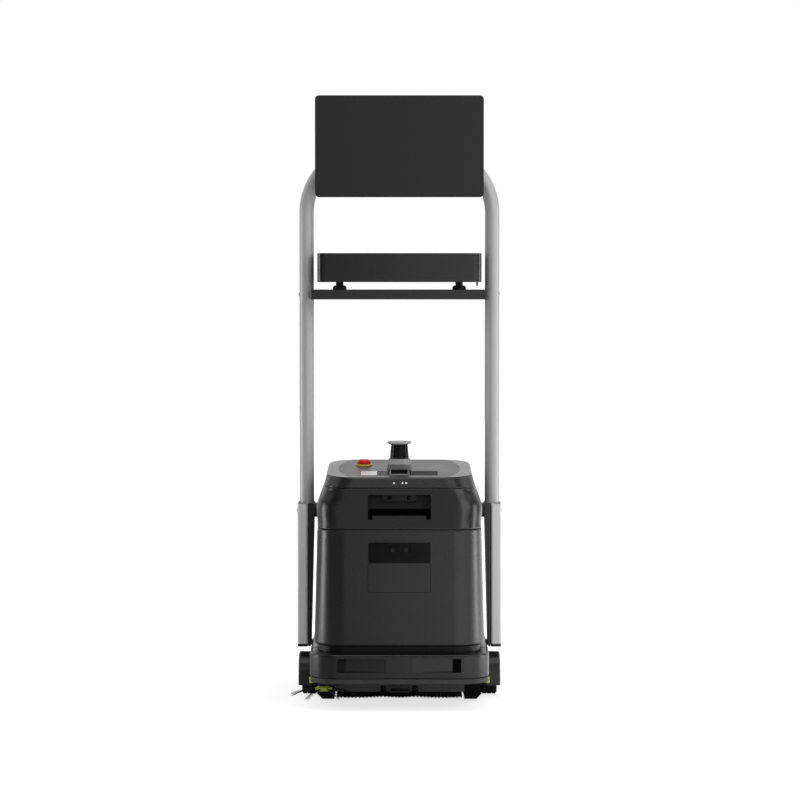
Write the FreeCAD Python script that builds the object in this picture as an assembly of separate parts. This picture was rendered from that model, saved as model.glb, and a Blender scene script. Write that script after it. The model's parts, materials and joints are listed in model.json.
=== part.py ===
# Floor-sweeping robot with a bent-tube frame that carries a tray and an information display.
# Millimetres. The front looks along -Y, +Z is up, and the origin lies on the floor under the
# middle of the body. Left and right are as seen from the front, so left is -X.
import FreeCAD, Part
import math
import os

V = FreeCAD.Vector

# Fits
PLAY = 0.1              # radial play of a shaft, pin or stem in its bore
SEAT_GAP = 0.3          # air between a loose piece and the seat that carries it
PANEL_GAP = 0.8         # groove round a panel that is let into a shell
SKIN = 1.0              # how far a cutting tool overshoots the face that it opens

# Body outline at its foot, seen from above
BODY_HALF = 223.0
BODY_FRONT = 270.0
BODY_REAR = 272.0
BODY_CORNER = 80.0
BODY_WALL = 5.0
BODY_HEIGHT = 304.0     # foot of the shell to the shoulder seam
SIDE_DRAFT = 8.0
FRONT_DRAFT = 6.0
REAR_DRAFT = 10.0
FOOT_ROUND = 8.0
SEAM_ROUND = 4.0
LIP_THICKNESS = 4.0
LIP_WIDTH = 23.0
EXHAUSTS = 14           # air slots low in the rear of the shell
EXHAUST_PITCH = 12.0
EXHAUST_WIDTH = 5.0
EXHAUST_HEIGHT = 36.0
EXHAUST_RISE = 22.0     # foot of the shell to the slots

# Shoulder cover and lid
COVER_WALL = 4.0
SHOULDER_RISE = 64.0    # shoulder seam to the widest part of the cover
SHOULDER_FLARE = 1.0
SHOULDER_FRONT = 21.3   # slope of the cover's front and rear, seam to shoulder
BELL_RISE = 86.0        # shoulder seam to the middle of the bell curve, at the front
BELL_SIDE = 11.0        # in from the shoulder
BELL_FRONT = 7.4
BELL_CORNER = 71.0
BELL_DEGREE = 3         # of the curve through the cover's sections
COVER_HEIGHT = 105.0    # shoulder seam to the lid seam, at the front
LID_SIDE = 18.0
LID_FRONT = 13.7
LID_CORNER = 70.0
LID_SEAM_ROUND = 2.0
RAKE = 3.1              # degrees that the lid rises towards the rear
LID_HEIGHT = 27.5
LID_WALL = 3.5
DECK_SIDE = 7.0
DECK_FRONT = 20.0
DECK_REAR = 44.0
DECK_CORNER = 80.0
DECK_ROUND = 9.0

# Grip pocket in the shoulder cover
POCKET_HALF = 82.0
POCKET_BOTTOM = 26.0    # above the shoulder seam
POCKET_HEIGHT = 64.0
POCKET_ROUND = 5.0
POCKET_DEPTH = 28.0     # behind the shoulder's front
POCKET_WALL = 3.0
GRIP_SILL = 10.0
GRIP_SILL_HALF = 70.0
GRIP_SLOT = 16.0
GRIP_SLOT_DEPTH = 27.0  # beyond the back of the pocket

# Depth camera in the pocket
CAMERA_HALF = 44.0
CAMERA_HEIGHT = 17.0
CAMERA_DEPTH = 9.0
CAMERA_LENS_RADIUS = 5.5
CAMERA_LENS_SPACING = 50.0

# Window, twin camera and access panel in the front of the shell
WINDOW_HALF = 80.5
WINDOW_DROP = 32.0      # shoulder seam down to the window
WINDOW_HEIGHT = 52.0
WINDOW_ROUND = 4.0
WINDOW_RECESS = 2.5
GLASS = 4.0
EYE_SPACING = 35.0
EYE_RADIUS = 7.0
EYE_DEPTH = 14.0
EYE_RISE = 6.0
EYE_MODULE_HALF = 32.0
EYE_MODULE_HEIGHT = 28.0
ACCESS_HALF = 81.0
ACCESS_HEIGHT = 76.0
ACCESS_ROUND = 5.0

# Deck pieces
PANEL_THICKNESS = 2.0
PANEL_SIDE = 30.0       # in from the side of the deck, at the middle of the bow
PANEL_BOW = 33.0
PANEL_FRONT = 12.0      # in from the front edge of the deck
PANEL_REAR = 12.0
DECK_GROOVE = 0.9
DECK_PLATE = 1.6        # thickness of a window let into the deck
DECK_PLATE_SUNK = 1.2
DECK_PLATE_FRONT = 44.0 # in from the front edge of the deck
DECK_PLATE_LENGTH = 86.0
DECK_PLATE_GAP = 28.0   # from the middle to a side plate
SCREEN_WIDTH = 42.0
STRIP_WIDTH = 73.0
LIGHT_PLACES = (-14.0, 8.0, 18.0)
LIGHT_RADIUS = 2.4
LIGHT_DEPTH = 4.0

# Scanner on the deck
SCANNER_Y = -20.0
SCANNER_FOOT_HALF = 38.0
SCANNER_FOOT_DEPTH = 46.0
SCANNER_TOP_HALF = 29.0
SCANNER_TOP_DEPTH = 34.0
SCANNER_FOOT_CORNER = 12.7
SCANNER_TOP_CORNER = 23.2
SCANNER_HEIGHT = 27.0   # deck at the scanner to the top of its base
SCANNER_RADIUS = 25.5
SCANNER_NECK = 22.5
SCANNER_WINDOW = 37.0
SCANNER_WALL = 2.0
SCANNER_CAP_RADIUS = 32.5
SCANNER_CAP = 9.5
SCANNER_CAP_BEVEL = 3.5
ROTOR_RADIUS = 17.0
ROTOR_HEIGHT = 27.0
ROTOR_FLAT = 13.6       # axis to the flat face
SPINDLE_RADIUS = 4.0
SPINDLE_HEIGHT = 18.0
TONGUE_HALF = 25.0
TONGUE_HEIGHT = 4.0
TONGUE_NOSE = 3.0
TONGUE_MARGIN = 3.0

# Emergency stop
STOP_INSET = 95.0       # side of the deck to the stop's axis
STOP_Y = 50.0
STOP_COLLAR_RADIUS = 23.0
STOP_COLLAR = 4.0
STOP_COLLAR_WALL = 3.0
STOP_COLLAR_FLOOR = 1.0
STOP_HEAD_RADIUS = 18.0
STOP_HEAD = 11.0
STOP_HEAD_ROUND = 8.0
STOP_STEM_RADIUS = 8.0
STOP_STEM = 20.0
STOP_BORE_PLAY = 1.0    # round the stem in lid and panel
STOP_TRAVEL = 4.0

# Chassis
PLATE = 6.0
RIM = 4.0
RIM_HEIGHT = 57.0
CHASSIS_INSET = 12.0
CHASSIS_CORNER = 66.0
WHEEL_HEADROOM = 4.0

# Skirt and bumper
SKIRT_OUT = 11.0
SKIRT_NOSE = 25.0
SKIRT_TAIL = 20.0
SKIRT_CORNER = 72.0
SKIRT_WALL = 4.0
SKIRT_RECESS = 17.0     # foot of the shell down to the top of the skirt
SKIRT_HEIGHT = 77.0
LEDGE = 4.0
BUMPER_WALL = 14.0
BUMPER_ROUND = 6.0
BUMPER_ARM = 145.0      # length of the bumper's side arms
BUMPER_TRAVEL = 8.0
BUMPER_CLEAR = 2.0      # air left when the bumper is pressed home
STRIP_HEIGHT = 17.0
STRIP_INSET = 1.5
STRIP_WALL = 10.0
STRIP_GROOVE = 3.0      # height of the groove under the bumper
STRIP_GROOVE_DEPTH = 5.0
SCOOP_START = 34.0
SCOOP_INSET = 2.0       # start of the bumper's round corner to the scoop
SCOOP_FLAT = 22.0
SCOOP_DEPTH = 11.0
SCOOP_BOTTOM = 31.0     # above the foot of the bumper
SCOOP_HEIGHT = 36.0
SENSOR = 3.0
GUIDE_X = 120.0
GUIDE_RADIUS = 5.0
GUIDE_WALL = 5.0
GUIDE_SINK = 2.0        # guide bore into the bumper's front wall
GUIDE_RISE = 18.0       # above the underside of the chassis plate
CONTACT_SPACING = 70.0
CONTACT_WIDTH = 16.0
CONTACT_HEIGHT = 34.0
CONTACT_PROUD = 2.0

# Drive wheels
WHEEL_RADIUS = 52.0
WHEEL_Y = 20.0
TYRE_WIDTH = 40.0
TYRE = 12.0
TYRE_OUT = 28.0         # tyre's outer face beyond the skirt
TYRE_BEVEL = 4.0
TREAD_GROOVE = 2.5
HUB_INSET = 2.0
HUB_DISH = 8.0
HUB_DISH_RADIUS = 29.0
HUB_DISH_FLOOR = 23.0   # radius of the dish at its floor
HUB_CAP_RADIUS = 12.0
AXLE_RADIUS = 8.0
AXLE_LENGTH = 50.0
MOTOR_RADIUS = 28.0
MOTOR_LENGTH = 95.0
MOTOR_PLATE = 6.0
MOTOR_PLATE_HALF = 40.0
MOTOR_PLATE_DROP = 32.0 # below the axle
MOTOR_SHELF = 60.0
HUB_CLEAR = 11.0        # motor plate to the wheel
ARCH_GAP = 6.5
ARCH_WALL = 4.0
ARCH_SIDE_GAP = 5.0
ARCH_BOTTOM = 31.0
ARCH_ROUND = 5.0

# Rear casters
CASTER_INSET = 84.0     # side of the skirt to the swivel
CASTER_SETBACK = 67.0   # rear of the shell to the swivel
CASTER_RADIUS = 30.0
CASTER_WIDTH = 22.0
CASTER_TRAIL = 22.0
CASTER_GAP = 1.5
CASTER_CHEEK = 4.0
CASTER_CHEEK_HALF = 14.0
CASTER_TOP = 5.0
CASTER_STEM_RADIUS = 6.0
CASTER_AXLE_RADIUS = 4.0
CASTER_BEVEL = 4.0

# Sweeping roller and its tunnel
ROLLER_Y = -80.0
ROLLER_RADIUS = 40.0
ROLLER_LIFT = 6.0       # brush tips above the floor when parked
TUNNEL_SIDE = 12.0      # skirt to the end of the tunnel
CORE_RADIUS = 22.0
CORE_WALL = 4.0
CORE_PLUG = 20.0
CORE_AXLE_RADIUS = 7.0
WEB = 10.0
WEB_GAP = 15.0          # web to the motor, crossed by its shaft
BRUSH_ROWS = 8
BRUSH_THICKNESS = 6.0
BRUSH_TWIST = 50.0      # degrees from the middle of the roller to an end
BRUSH_STEPS = 4
TUNNEL_GAP = 5.0
TUNNEL_WALL = 3.0
TUNNEL_LIP = 19.0       # front and rear lips below the roller's axis
END_BLOCK = 46.0        # length of the bearing block at each end of the tunnel
END_DROP = 38.0         # foot of the bearing blocks below the roller's axis
END_SLANT = 14.0        # slanted lower corner of the blocks
END_SLANT_RISE = 14.0
END_BORE = 20.0         # depth of the axle's bearing
END_GAP = 6.0
BRUSH_MOTOR_RADIUS = 15.0
BRUSH_MOTOR_LENGTH = 121.0
BRUSH_MOTOR_FLANGE = 30.0
BRUSH_SHAFT_RADIUS = 6.0
BRUSH_SHAFT = 22.0
LIFT_ROD_RADIUS = 6.0
LIFT_ROD = 90.0
LIFT_RADIUS = 20.0
LIFT_CAP = 8.0          # over the end of the rod's bore

# Side brush
SIDE_INSET = 36.0       # side of the skirt to the brush's axis
SIDE_SETBACK = 76.0     # front of the bumper to the brush's axis
SIDE_REACH = 86.0
SIDE_HUB_RADIUS = 18.0
SIDE_HUB = 14.0
SIDE_HUB_FOOT = 12.6    # radius at the underside
SIDE_HUB_CROWN = 14.4
SIDE_HUB_BEVEL = 3.5
SIDE_HUB_Z = 43.0
SIDE_TUFTS = 6
SIDE_TUFT_RADIUS = 4.5
SIDE_TIP_RADIUS = 2.2
SIDE_DROOP = 14.0
SIDE_SHAFT_RADIUS = 5.0
SIDE_SHAFT = 28.0
POD_RADIUS = 15.0
POD_HEIGHT = 46.0
POD_STEM_IN = 33.0      # brush axis to the stem, towards the middle
POD_STEM_BACK = 17.0
POD_STEM_RADIUS = 8.0
POD_STEM_SPARE = 8.0    # stem left above the chassis plate when the brush is down
POD_ARM = 14.0
SIDE_TRAVEL = 28.0

# Inside the body
BATTERY_HALF = 120.0
BATTERY_FRONT = 95.0
BATTERY_LENGTH = 150.0
BATTERY_HEIGHT = 100.0
BATTERY_ROUND = 6.0
FAN_X = 70.0
FAN_Y = -10.0
FAN_RADIUS = 58.0
FAN_HEIGHT = 52.0
FAN_INLET_RADIUS = 26.0
FAN_INLET = 30.0
FAN_INLET_WALL = 5.0
BOARD_INSET = 83.0      # side of the shell's foot to the board's middle
BOARD_Y = -10.0
BOARD_HALF_X = 52.0
BOARD_HALF_Y = 70.0
BOARD = 2.0
BOARD_POST = 8.0
BOARD_POST_RADIUS = 4.0
HEATSINK_HALF = 28.0
HEATSINK_BASE = 4.0
HEATSINK_FIN = 18.0
HEATSINK_FINS = 7
BIN_INSET = 73.0        # side of the shell's foot to the bin's front
BIN_FRONT = 60.0
BIN_BOTTOM = 77.0       # rails above the foot of the shell
BIN_HEIGHT = 176.0
BIN_HEADROOM = 10.0     # bin's box below the top of its front
BIN_WALL = 3.0
BIN_SIDE = 10.0
RAIL = 6.0
RAIL_WIDTH = 100.0
RAIL_REAR = 18.0
BIN_GRIP_HALF = 46.0
BIN_GRIP_TOP = 20.0
BIN_GRIP_HEIGHT = 32.0
BIN_GRIP_DEPTH = 26.0
BIN_GRIP_ROUND = 8.0

# Legs and frame
FRAME_Y = 40.0
FRAME_GAP = 22.7        # side of the shell's foot to the leg
LEG_WIDTH = 29.0
LEG_DEPTH = 110.0
LEG_WALL = 3.0
LEG_ROUND = 6.0
LEG_GAP = 16.7          # wheel arch to the foot of the leg
LEG_CAP = 8.0
LEG_CAP_INSET = 0.8
LEG_LENGTH = 378.0
BRACKET_TOP = 16.7
BRACKET_FOOT = 7.0
BRACKET_DEPTH = 90.0
BOSS_RADIUS = 18.0
BOSS_RISE = 28.0        # above the shoulder seam
BOSS_SPACING = 44.0
PAD_HEIGHT = 13.0
PAD_DEPTH = 30.0
TUBE_WIDTH = 38.0
TUBE_DEPTH = 64.0
TUBE_WALL = 3.0
TUBE_OVERHANG = 14.8    # inner side of the tube inside the leg's inner face
SPIGOT = 60.0
POST_LENGTH = 780.0
BEND_RADIUS = 170.5

# Shelf and tray
SHELF_DROP = 205.5      # top of the posts down to the top of the shelf
SHELF_HEIGHT = 26.0
SHELF_SHEET = 3.0
SHELF_EAR = 6.0         # past the inner side of the posts
SHELF_FRONT = 102.0     # ahead of the frame's middle plane
SHELF_REAR = 110.0
SHELF_ROUND = 3.0
FOOT_INSET = 57.7       # side of the tray to a foot
FOOT_FRONT = 65.0
FOOT_REAR = 75.0
FOOT_RADIUS = 16.8
FOOT_HEIGHT = 11.0
FOOT_BEVEL = 4.0
FOOT_STEM_RADIUS = 8.5
FOOT_STEM = 9.0
TRAY_SIDE_GAP = 12.2
TRAY_FRONT = 110.0      # ahead of the frame's middle plane
TRAY_REAR = 120.0
TRAY_HEIGHT = 77.0
TRAY_CORNER = 20.0
TRAY_WALL = 4.0
TRAY_FLOOR = 4.0
TRAY_RIM_ROUND = 1.5
PEG_INSET = 11.7        # side of the tray to the peg
PEG_SETBACK = 25.0      # front of the tray to the peg
PEG_RADIUS = 2.5
PEG = 10.0

# Display
DISPLAY_WIDTH = 449.0
DISPLAY_HEIGHT = 270.0
DISPLAY_CORNER = 11.0
DISPLAY_RISE = 5.0      # middle of the display above the hoop's bar
DISPLAY_GLASS = 3.0
DISPLAY_EDGE = 12.0
DISPLAY_BACK = 20.0
DISPLAY_BACK_INSET = 26.0
VENTS = 13
VENT_PITCH = 14.0
VENT_WIDTH = 5.0
VENT_HEIGHT = 24.0
VENT_DEPTH = 2.5
VENT_RISE = 14.0        # mount plate to the vents
MOUNT_HALF = 60.0
MOUNT_PLATE = 4.0
MOUNT_BLOCK_HALF = 40.0
MOUNT_BLOCK_HEIGHT = 30.0
MOUNT_REACH = 16.0      # into the round front of the bar
MOUNT_HOLE_SPACING = 100.0
MOUNT_HOLE_RADIUS = 2.2

# Worked-out heights, floor upwards
chassis_z = 2 * WHEEL_RADIUS + WHEEL_HEADROOM
plate_top = chassis_z + PLATE
body_z = chassis_z + RIM_HEIGHT
seam_z = body_z + BODY_HEIGHT
lid_z = seam_z + COVER_HEIGHT
skirt_top = body_z - SKIRT_RECESS
skirt_bottom = skirt_top - SKIRT_HEIGHT
strip_top = skirt_bottom + STRIP_HEIGHT
roller_z = ROLLER_LIFT + ROLLER_RADIUS
arch_radius = WHEEL_RADIUS + ARCH_GAP
leg_foot = WHEEL_RADIUS + arch_radius + ARCH_WALL + LEG_GAP
leg_top = leg_foot + LEG_CAP + LEG_LENGTH
post_top = leg_top + POST_LENGTH
bar_z = post_top + BEND_RADIUS
shelf_top = post_top - SHELF_DROP
tray_z = shelf_top + FOOT_HEIGHT + FOOT_STEM
display_z = bar_z + DISPLAY_RISE
boss_z = seam_z + BOSS_RISE

# Worked-out distances from the middle
skirt_half = BODY_HALF + SKIRT_OUT
tyre_outer = skirt_half + TYRE_OUT
tyre_inner = tyre_outer - TYRE_WIDTH
motor_face = tyre_inner - HUB_CLEAR
leg_inner = BODY_HALF + FRAME_GAP
tube_inner = leg_inner - TUBE_OVERHANG
tube_x = tube_inner + TUBE_WIDTH / 2
tray_half = tube_inner - TRAY_SIDE_GAP
tunnel_end = skirt_half - SKIRT_WALL - TUNNEL_SIDE
tunnel_half = tunnel_end - END_BLOCK
roller_half = tunnel_half - END_GAP
caster_x = skirt_half - CASTER_INSET
caster_y = BODY_REAR - CASTER_SETBACK
bin_half = BODY_HALF - BIN_INSET
board_x = BOARD_INSET - BODY_HALF
scoop_end = skirt_half - SKIRT_CORNER - SCOOP_INSET

# Outlines seen from above: half width, front, rear, corner radius
FOOT_PLAN = (BODY_HALF, -BODY_FRONT, BODY_REAR, BODY_CORNER)
SKIRT_PLAN = (skirt_half, -BODY_FRONT - SKIRT_NOSE, BODY_REAR + SKIRT_TAIL, SKIRT_CORNER)


def shrink(plan, side, front=None, rear=None):
    """The outline drawn in at its sides, front and rear; the corners follow the sides."""
    half, y_front, y_rear, corner = plan
    front = side if front is None else front
    rear = side if rear is None else rear
    return half - side, y_front + front, y_rear - rear, corner - side


SEAM_PLAN = shrink(FOOT_PLAN, SIDE_DRAFT, FRONT_DRAFT, REAR_DRAFT)
SLOPE_PLAN = shrink(SEAM_PLAN, -SHOULDER_FLARE, SHOULDER_FRONT / 2, SHOULDER_FRONT / 2)
SHOULDER_PLAN = shrink(SEAM_PLAN, -SHOULDER_FLARE, SHOULDER_FRONT, SHOULDER_FRONT)
BELL_PLAN = shrink(SHOULDER_PLAN, BELL_SIDE, BELL_FRONT, BELL_FRONT)[:3] + (BELL_CORNER,)
LID_PLAN = shrink(SHOULDER_PLAN, LID_SIDE, LID_FRONT, LID_FRONT)[:3] + (LID_CORNER,)
DECK_PLAN = shrink(LID_PLAN, DECK_SIDE, DECK_FRONT, DECK_REAR)[:3] + (DECK_CORNER,)
CHASSIS_PLAN = shrink(FOOT_PLAN, CHASSIS_INSET)[:3] + (CHASSIS_CORNER,)
deck_z = lid_z + LID_HEIGHT
window_z = seam_z - WINDOW_DROP - WINDOW_HEIGHT
deck_front = DECK_PLAN[1]
stop_x = STOP_INSET - DECK_PLAN[0]
bumper_front = SKIRT_PLAN[1]
arm_end = bumper_front + BUMPER_ARM
side_x = SIDE_INSET - skirt_half
side_y = bumper_front + SIDE_SETBACK
pod_stem_x = side_x + POD_STEM_IN
pod_stem_y = side_y + POD_STEM_BACK


def rounded_wire(u0, u1, v0, v1, radius, place):
    """Closed rounded rectangle; place turns its two flat coordinates into a point."""
    corners = [(u1 - radius, v0 + radius, -90), (u1 - radius, v1 - radius, 0),
               (u0 + radius, v1 - radius, 90), (u0 + radius, v0 + radius, 180)]
    arcs = []
    for cu, cv, start in corners:
        turns = [math.radians(start + step) for step in (0, 45, 90)]
        arcs.append([place(cu + radius * math.cos(t), cv + radius * math.sin(t)) for t in turns])
    edges = []
    for arc, following in zip(arcs, arcs[1:] + arcs[:1]):
        edges.append(Part.Arc(*arc).toShape())
        edges.append(Part.LineSegment(arc[2], following[0]).toShape())
    return Part.Wire(edges)


def plan_wire(plan, z):
    half, front, rear, corner = plan
    return rounded_wire(-half, half, front, rear, corner, lambda u, v: V(u, v, z))


def plan_prism(plan, z0, z1):
    return Part.Face(plan_wire(plan, z0)).extrude(V(0, 0, z1 - z0))


def front_prism(x0, x1, z0, z1, radius, y0, y1):
    """Rounded rectangle seen from the front, extruded from y0 back to y1."""
    wire = rounded_wire(x0, x1, z0, z1, radius, lambda u, v: V(u, y0, v))
    return Part.Face(wire).extrude(V(0, y1 - y0, 0))


def box(xs, ys, zs):
    x0, x1 = sorted(xs)
    y0, y1 = sorted(ys)
    z0, z1 = sorted(zs)
    return Part.makeBox(x1 - x0, y1 - y0, z1 - z0, V(x0, y0, z0))


def cylinder(radius, start, end):
    start = V(*start)
    axis = V(*end) - start
    return Part.makeCylinder(radius, axis.Length, start, axis)


def polygon_prism(points, along):
    return Part.Face(Part.makePolygon(points + points[:1])).extrude(along)


def turned_z(profile, x, y):
    """Solid turned about the vertical through x, y; the profile holds (radius, height) pairs."""
    points = [V(x + r, y, z) for r, z in profile]
    face = Part.Face(Part.makePolygon(points + points[:1]))
    return face.revolve(V(x, y, 0), V(0, 0, 1), 360)


def turned_x(profile, y, z):
    """Solid turned about the crosswise line through y, z; the profile holds (x, radius) pairs."""
    points = [V(x, y, z + r) for x, r in profile]
    face = Part.Face(Part.makePolygon(points + points[:1]))
    return face.revolve(V(0, y, z), V(1, 0, 0), 360)


def fuse(*shapes):
    return shapes[0].multiFuse(list(shapes[1:])).removeSplitter()


def group(shapes):
    return Part.makeCompound(shapes)


def edges_at(shape, point, normal):
    """Edges that lie wholly in the plane through point."""
    normal = V(*normal)
    point = V(*point)
    return [edge for edge in shape.Edges
            if all(abs((p - point).dot(normal)) < 1e-4 for p in edge.discretize(5))]


def rounded_at(shape, radius, point, normal):
    return shape.makeFillet(radius, edges_at(shape, point, normal))


def raked(shape, angle=RAKE):
    """Tilt a piece of the lid, rear end up, about the front of the lid seam."""
    tilted = shape.copy()
    tilted.rotate(V(0, LID_PLAN[1], lid_z), V(1, 0, 0), angle)
    return tilted


def rake_normal():
    angle = math.radians(RAKE)
    return 0, -math.sin(angle), math.cos(angle)


def shell_front(height):
    """Y of the shell's front face at a height above its foot."""
    return -BODY_FRONT + FRONT_DRAFT * height / BODY_HEIGHT


# Lower shell, its window, access panel and dust bin

def shell_block(inset):
    """The drafted body between its foot and the shoulder seam, drawn in by a wall."""
    foot = plan_wire(shrink(FOOT_PLAN, inset), body_z)
    seam = plan_wire(shrink(SEAM_PLAN, inset), seam_z)
    return Part.makeLoft([foot, seam], True, True)


def shell_wall():
    """The shell's wall alone, rounded at its foot and at the shoulder seam."""
    outer = rounded_at(shell_block(0), FOOT_ROUND, (0, 0, body_z), (0, 0, 1))
    outer = rounded_at(outer, SEAM_ROUND, (0, 0, seam_z), (0, 0, 1))
    above_lip = box((-2 * BODY_HALF, 2 * BODY_HALF), (-2 * BODY_FRONT, 2 * BODY_REAR),
                    (body_z + LIP_THICKNESS, seam_z + SKIN))
    return outer.cut(shell_block(BODY_WALL).common(above_lip))


def window_front():
    """Y of the window's face, set back from the shell at the window's middle."""
    return shell_front(window_z + WINDOW_HEIGHT / 2 - body_z) + WINDOW_RECESS


def window_span(clearance):
    z0 = window_z
    return (-WINDOW_HALF - clearance, WINDOW_HALF + clearance,
            z0 - clearance, z0 + WINDOW_HEIGHT + clearance, WINDOW_ROUND + clearance)


def access_span(clearance):
    z1 = window_z - 2 * PANEL_GAP
    return (-ACCESS_HALF - clearance, ACCESS_HALF + clearance,
            z1 - ACCESS_HEIGHT - clearance, z1 + clearance, ACCESS_ROUND + clearance)


def bin_span(clearance):
    z0 = body_z + BIN_BOTTOM + PANEL_GAP
    return (-bin_half - clearance, bin_half + clearance,
            z0 - clearance, z0 + BIN_HEIGHT + clearance, BIN_GRIP_ROUND + clearance)


def front_cutter(span):
    return front_prism(*span, -2 * BODY_FRONT, 0)


def rear_cutter(span):
    return front_prism(*span, BIN_FRONT + BIN_SIDE, 2 * BODY_REAR)


def exhaust_slots():
    z0 = body_z + EXHAUST_RISE
    slots = []
    for slot in range(EXHAUSTS):
        x = (slot - (EXHAUSTS - 1) / 2) * EXHAUST_PITCH
        slots.append(front_prism(x - EXHAUST_WIDTH / 2, x + EXHAUST_WIDTH / 2, z0, z0 + EXHAUST_HEIGHT,
                                 EXHAUST_WIDTH / 2 - PLAY, BODY_REAR - REAR_DRAFT - 2 * BODY_WALL,
                                 2 * BODY_REAR))
    return group(slots)


def lower_shell():
    """Drafted tub with openings for window, access panel and dust bin, rails for the bin, air slots."""
    wall = shell_wall()
    opening = plan_prism(shrink(FOOT_PLAN, LIP_WIDTH), body_z - SKIN, body_z + LIP_THICKNESS + SKIN)
    rail_z = body_z + BIN_BOTTOM
    rails = []
    for side in (-1, 1):
        reach = (side * (BODY_HALF - RAIL_WIDTH), side * BODY_HALF)
        rail = box(reach, (BIN_FRONT, BODY_REAR - REAR_DRAFT - RAIL_REAR), (rail_z - RAIL, rail_z))
        rails.append(rail.common(shell_block(BODY_WALL / 2)))
    wall = wall.cut(opening).multiFuse(rails)
    wall = wall.cut(front_cutter(window_span(SEAT_GAP)))
    wall = wall.cut(front_cutter(access_span(PANEL_GAP)))
    wall = wall.cut(exhaust_slots())
    return wall.cut(rear_cutter(bin_span(PANEL_GAP)))


def access_panel():
    return shell_wall().common(front_cutter(access_span(0)))


def front_window():
    """Dark glass let into the shell, parallel to the drafted front face."""
    y0 = window_front()
    return front_prism(*window_span(0), y0, y0 + GLASS)


def front_camera():
    """Twin camera behind the window: a flat housing with two lens barrels on its face."""
    y0 = window_front() + GLASS
    z = window_z + WINDOW_HEIGHT / 2 + EYE_RISE
    half_height = EYE_MODULE_HEIGHT / 2
    barrel = EYE_DEPTH / 3
    housing = front_prism(-EYE_MODULE_HALF, EYE_MODULE_HALF, z - half_height, z + half_height,
                          WINDOW_ROUND, y0 + barrel, y0 + EYE_DEPTH)
    eyes = [cylinder(EYE_RADIUS, (x, y0, z), (x, y0 + barrel + SKIN, z))
            for x in (-EYE_SPACING / 2, EYE_SPACING / 2)]
    return fuse(housing, *eyes)


def dust_bin():
    """Dirt drawer: its front is a piece of the shell, its open box rides on the rails."""
    front = shell_wall().common(rear_cutter(bin_span(0)))
    z0 = body_z + BIN_BOTTOM + SEAT_GAP
    top = bin_span(0)[3]
    half = bin_half - BIN_SIDE
    rear = BODY_REAR - REAR_DRAFT
    drawer = box((-half, half), (BIN_FRONT, rear + REAR_DRAFT), (z0, top - BIN_HEADROOM))
    drawer = drawer.common(shell_block(BODY_WALL - PLAY))
    hollow = box((BIN_WALL - half, half - BIN_WALL),
                 (BIN_FRONT + BIN_WALL, rear - BIN_GRIP_DEPTH - BIN_WALL), (z0 + BIN_WALL, top))
    grip_top = top - BIN_GRIP_TOP
    grip = front_prism(-BIN_GRIP_HALF, BIN_GRIP_HALF, grip_top - BIN_GRIP_HEIGHT, grip_top,
                       BIN_GRIP_ROUND, rear - BIN_GRIP_DEPTH, 2 * BODY_REAR)
    return front.fuse(drawer.cut(hollow)).cut(grip)


# Shoulder cover, lid and deck

def cover_block(inset):
    """The bell between the shoulder seam and the raked lid seam."""
    sections = [plan_wire(shrink(SEAM_PLAN, inset), seam_z),
                plan_wire(shrink(SLOPE_PLAN, inset), seam_z + SHOULDER_RISE / 2),
                plan_wire(shrink(SHOULDER_PLAN, inset), seam_z + SHOULDER_RISE)]
    bell = plan_wire(shrink(BELL_PLAN, inset), lid_z)
    bell = raked(bell, RAKE / 2)
    bell.translate(V(0, 0, BELL_RISE - COVER_HEIGHT))
    sections.append(bell)
    sections.append(raked(plan_wire(shrink(LID_PLAN, inset), lid_z)))
    return Part.makeLoft(sections, True, False, False, BELL_DEGREE)


def pocket_back():
    """Y of the grip pocket's back wall."""
    return SHOULDER_PLAN[1] + POCKET_DEPTH


def upper_cover():
    outer = cover_block(0)
    lid_point = (0, LID_PLAN[1], lid_z)
    rounded = rounded_at(outer, SEAM_ROUND, (0, 0, seam_z), (0, 0, 1))
    rounded = rounded_at(rounded, LID_SEAM_ROUND, lid_point, rake_normal())
    wall = rounded.cut(cover_block(COVER_WALL))
    z0 = seam_z + POCKET_BOTTOM
    z1 = z0 + POCKET_HEIGHT
    back = pocket_back()
    slot_top = z0 + GRIP_SILL + GRIP_SLOT
    lining = box((-POCKET_HALF - POCKET_WALL, POCKET_HALF + POCKET_WALL),
                 (-2 * BODY_FRONT, back + POCKET_WALL), (z0 - POCKET_WALL, z1 + POCKET_WALL))
    deep = box((-POCKET_HALF - POCKET_WALL, POCKET_HALF + POCKET_WALL),
               (-2 * BODY_FRONT, back + GRIP_SLOT_DEPTH + POCKET_WALL),
               (z0 - POCKET_WALL, slot_top + POCKET_WALL))
    wall = wall.fuse(lining.fuse(deep).common(rounded))
    pocket = front_prism(-POCKET_HALF, POCKET_HALF, z0, z1, POCKET_ROUND, -2 * BODY_FRONT, back)
    sill = box((-GRIP_SILL_HALF, GRIP_SILL_HALF), (-2 * BODY_FRONT, back), (z0, z0 + GRIP_SILL))
    slot = front_prism(-POCKET_HALF, POCKET_HALF, z0 + GRIP_SILL, slot_top, POCKET_ROUND,
                       back - SKIN, back + GRIP_SLOT_DEPTH)
    return wall.cut(pocket.cut(sill)).cut(slot)


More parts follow.
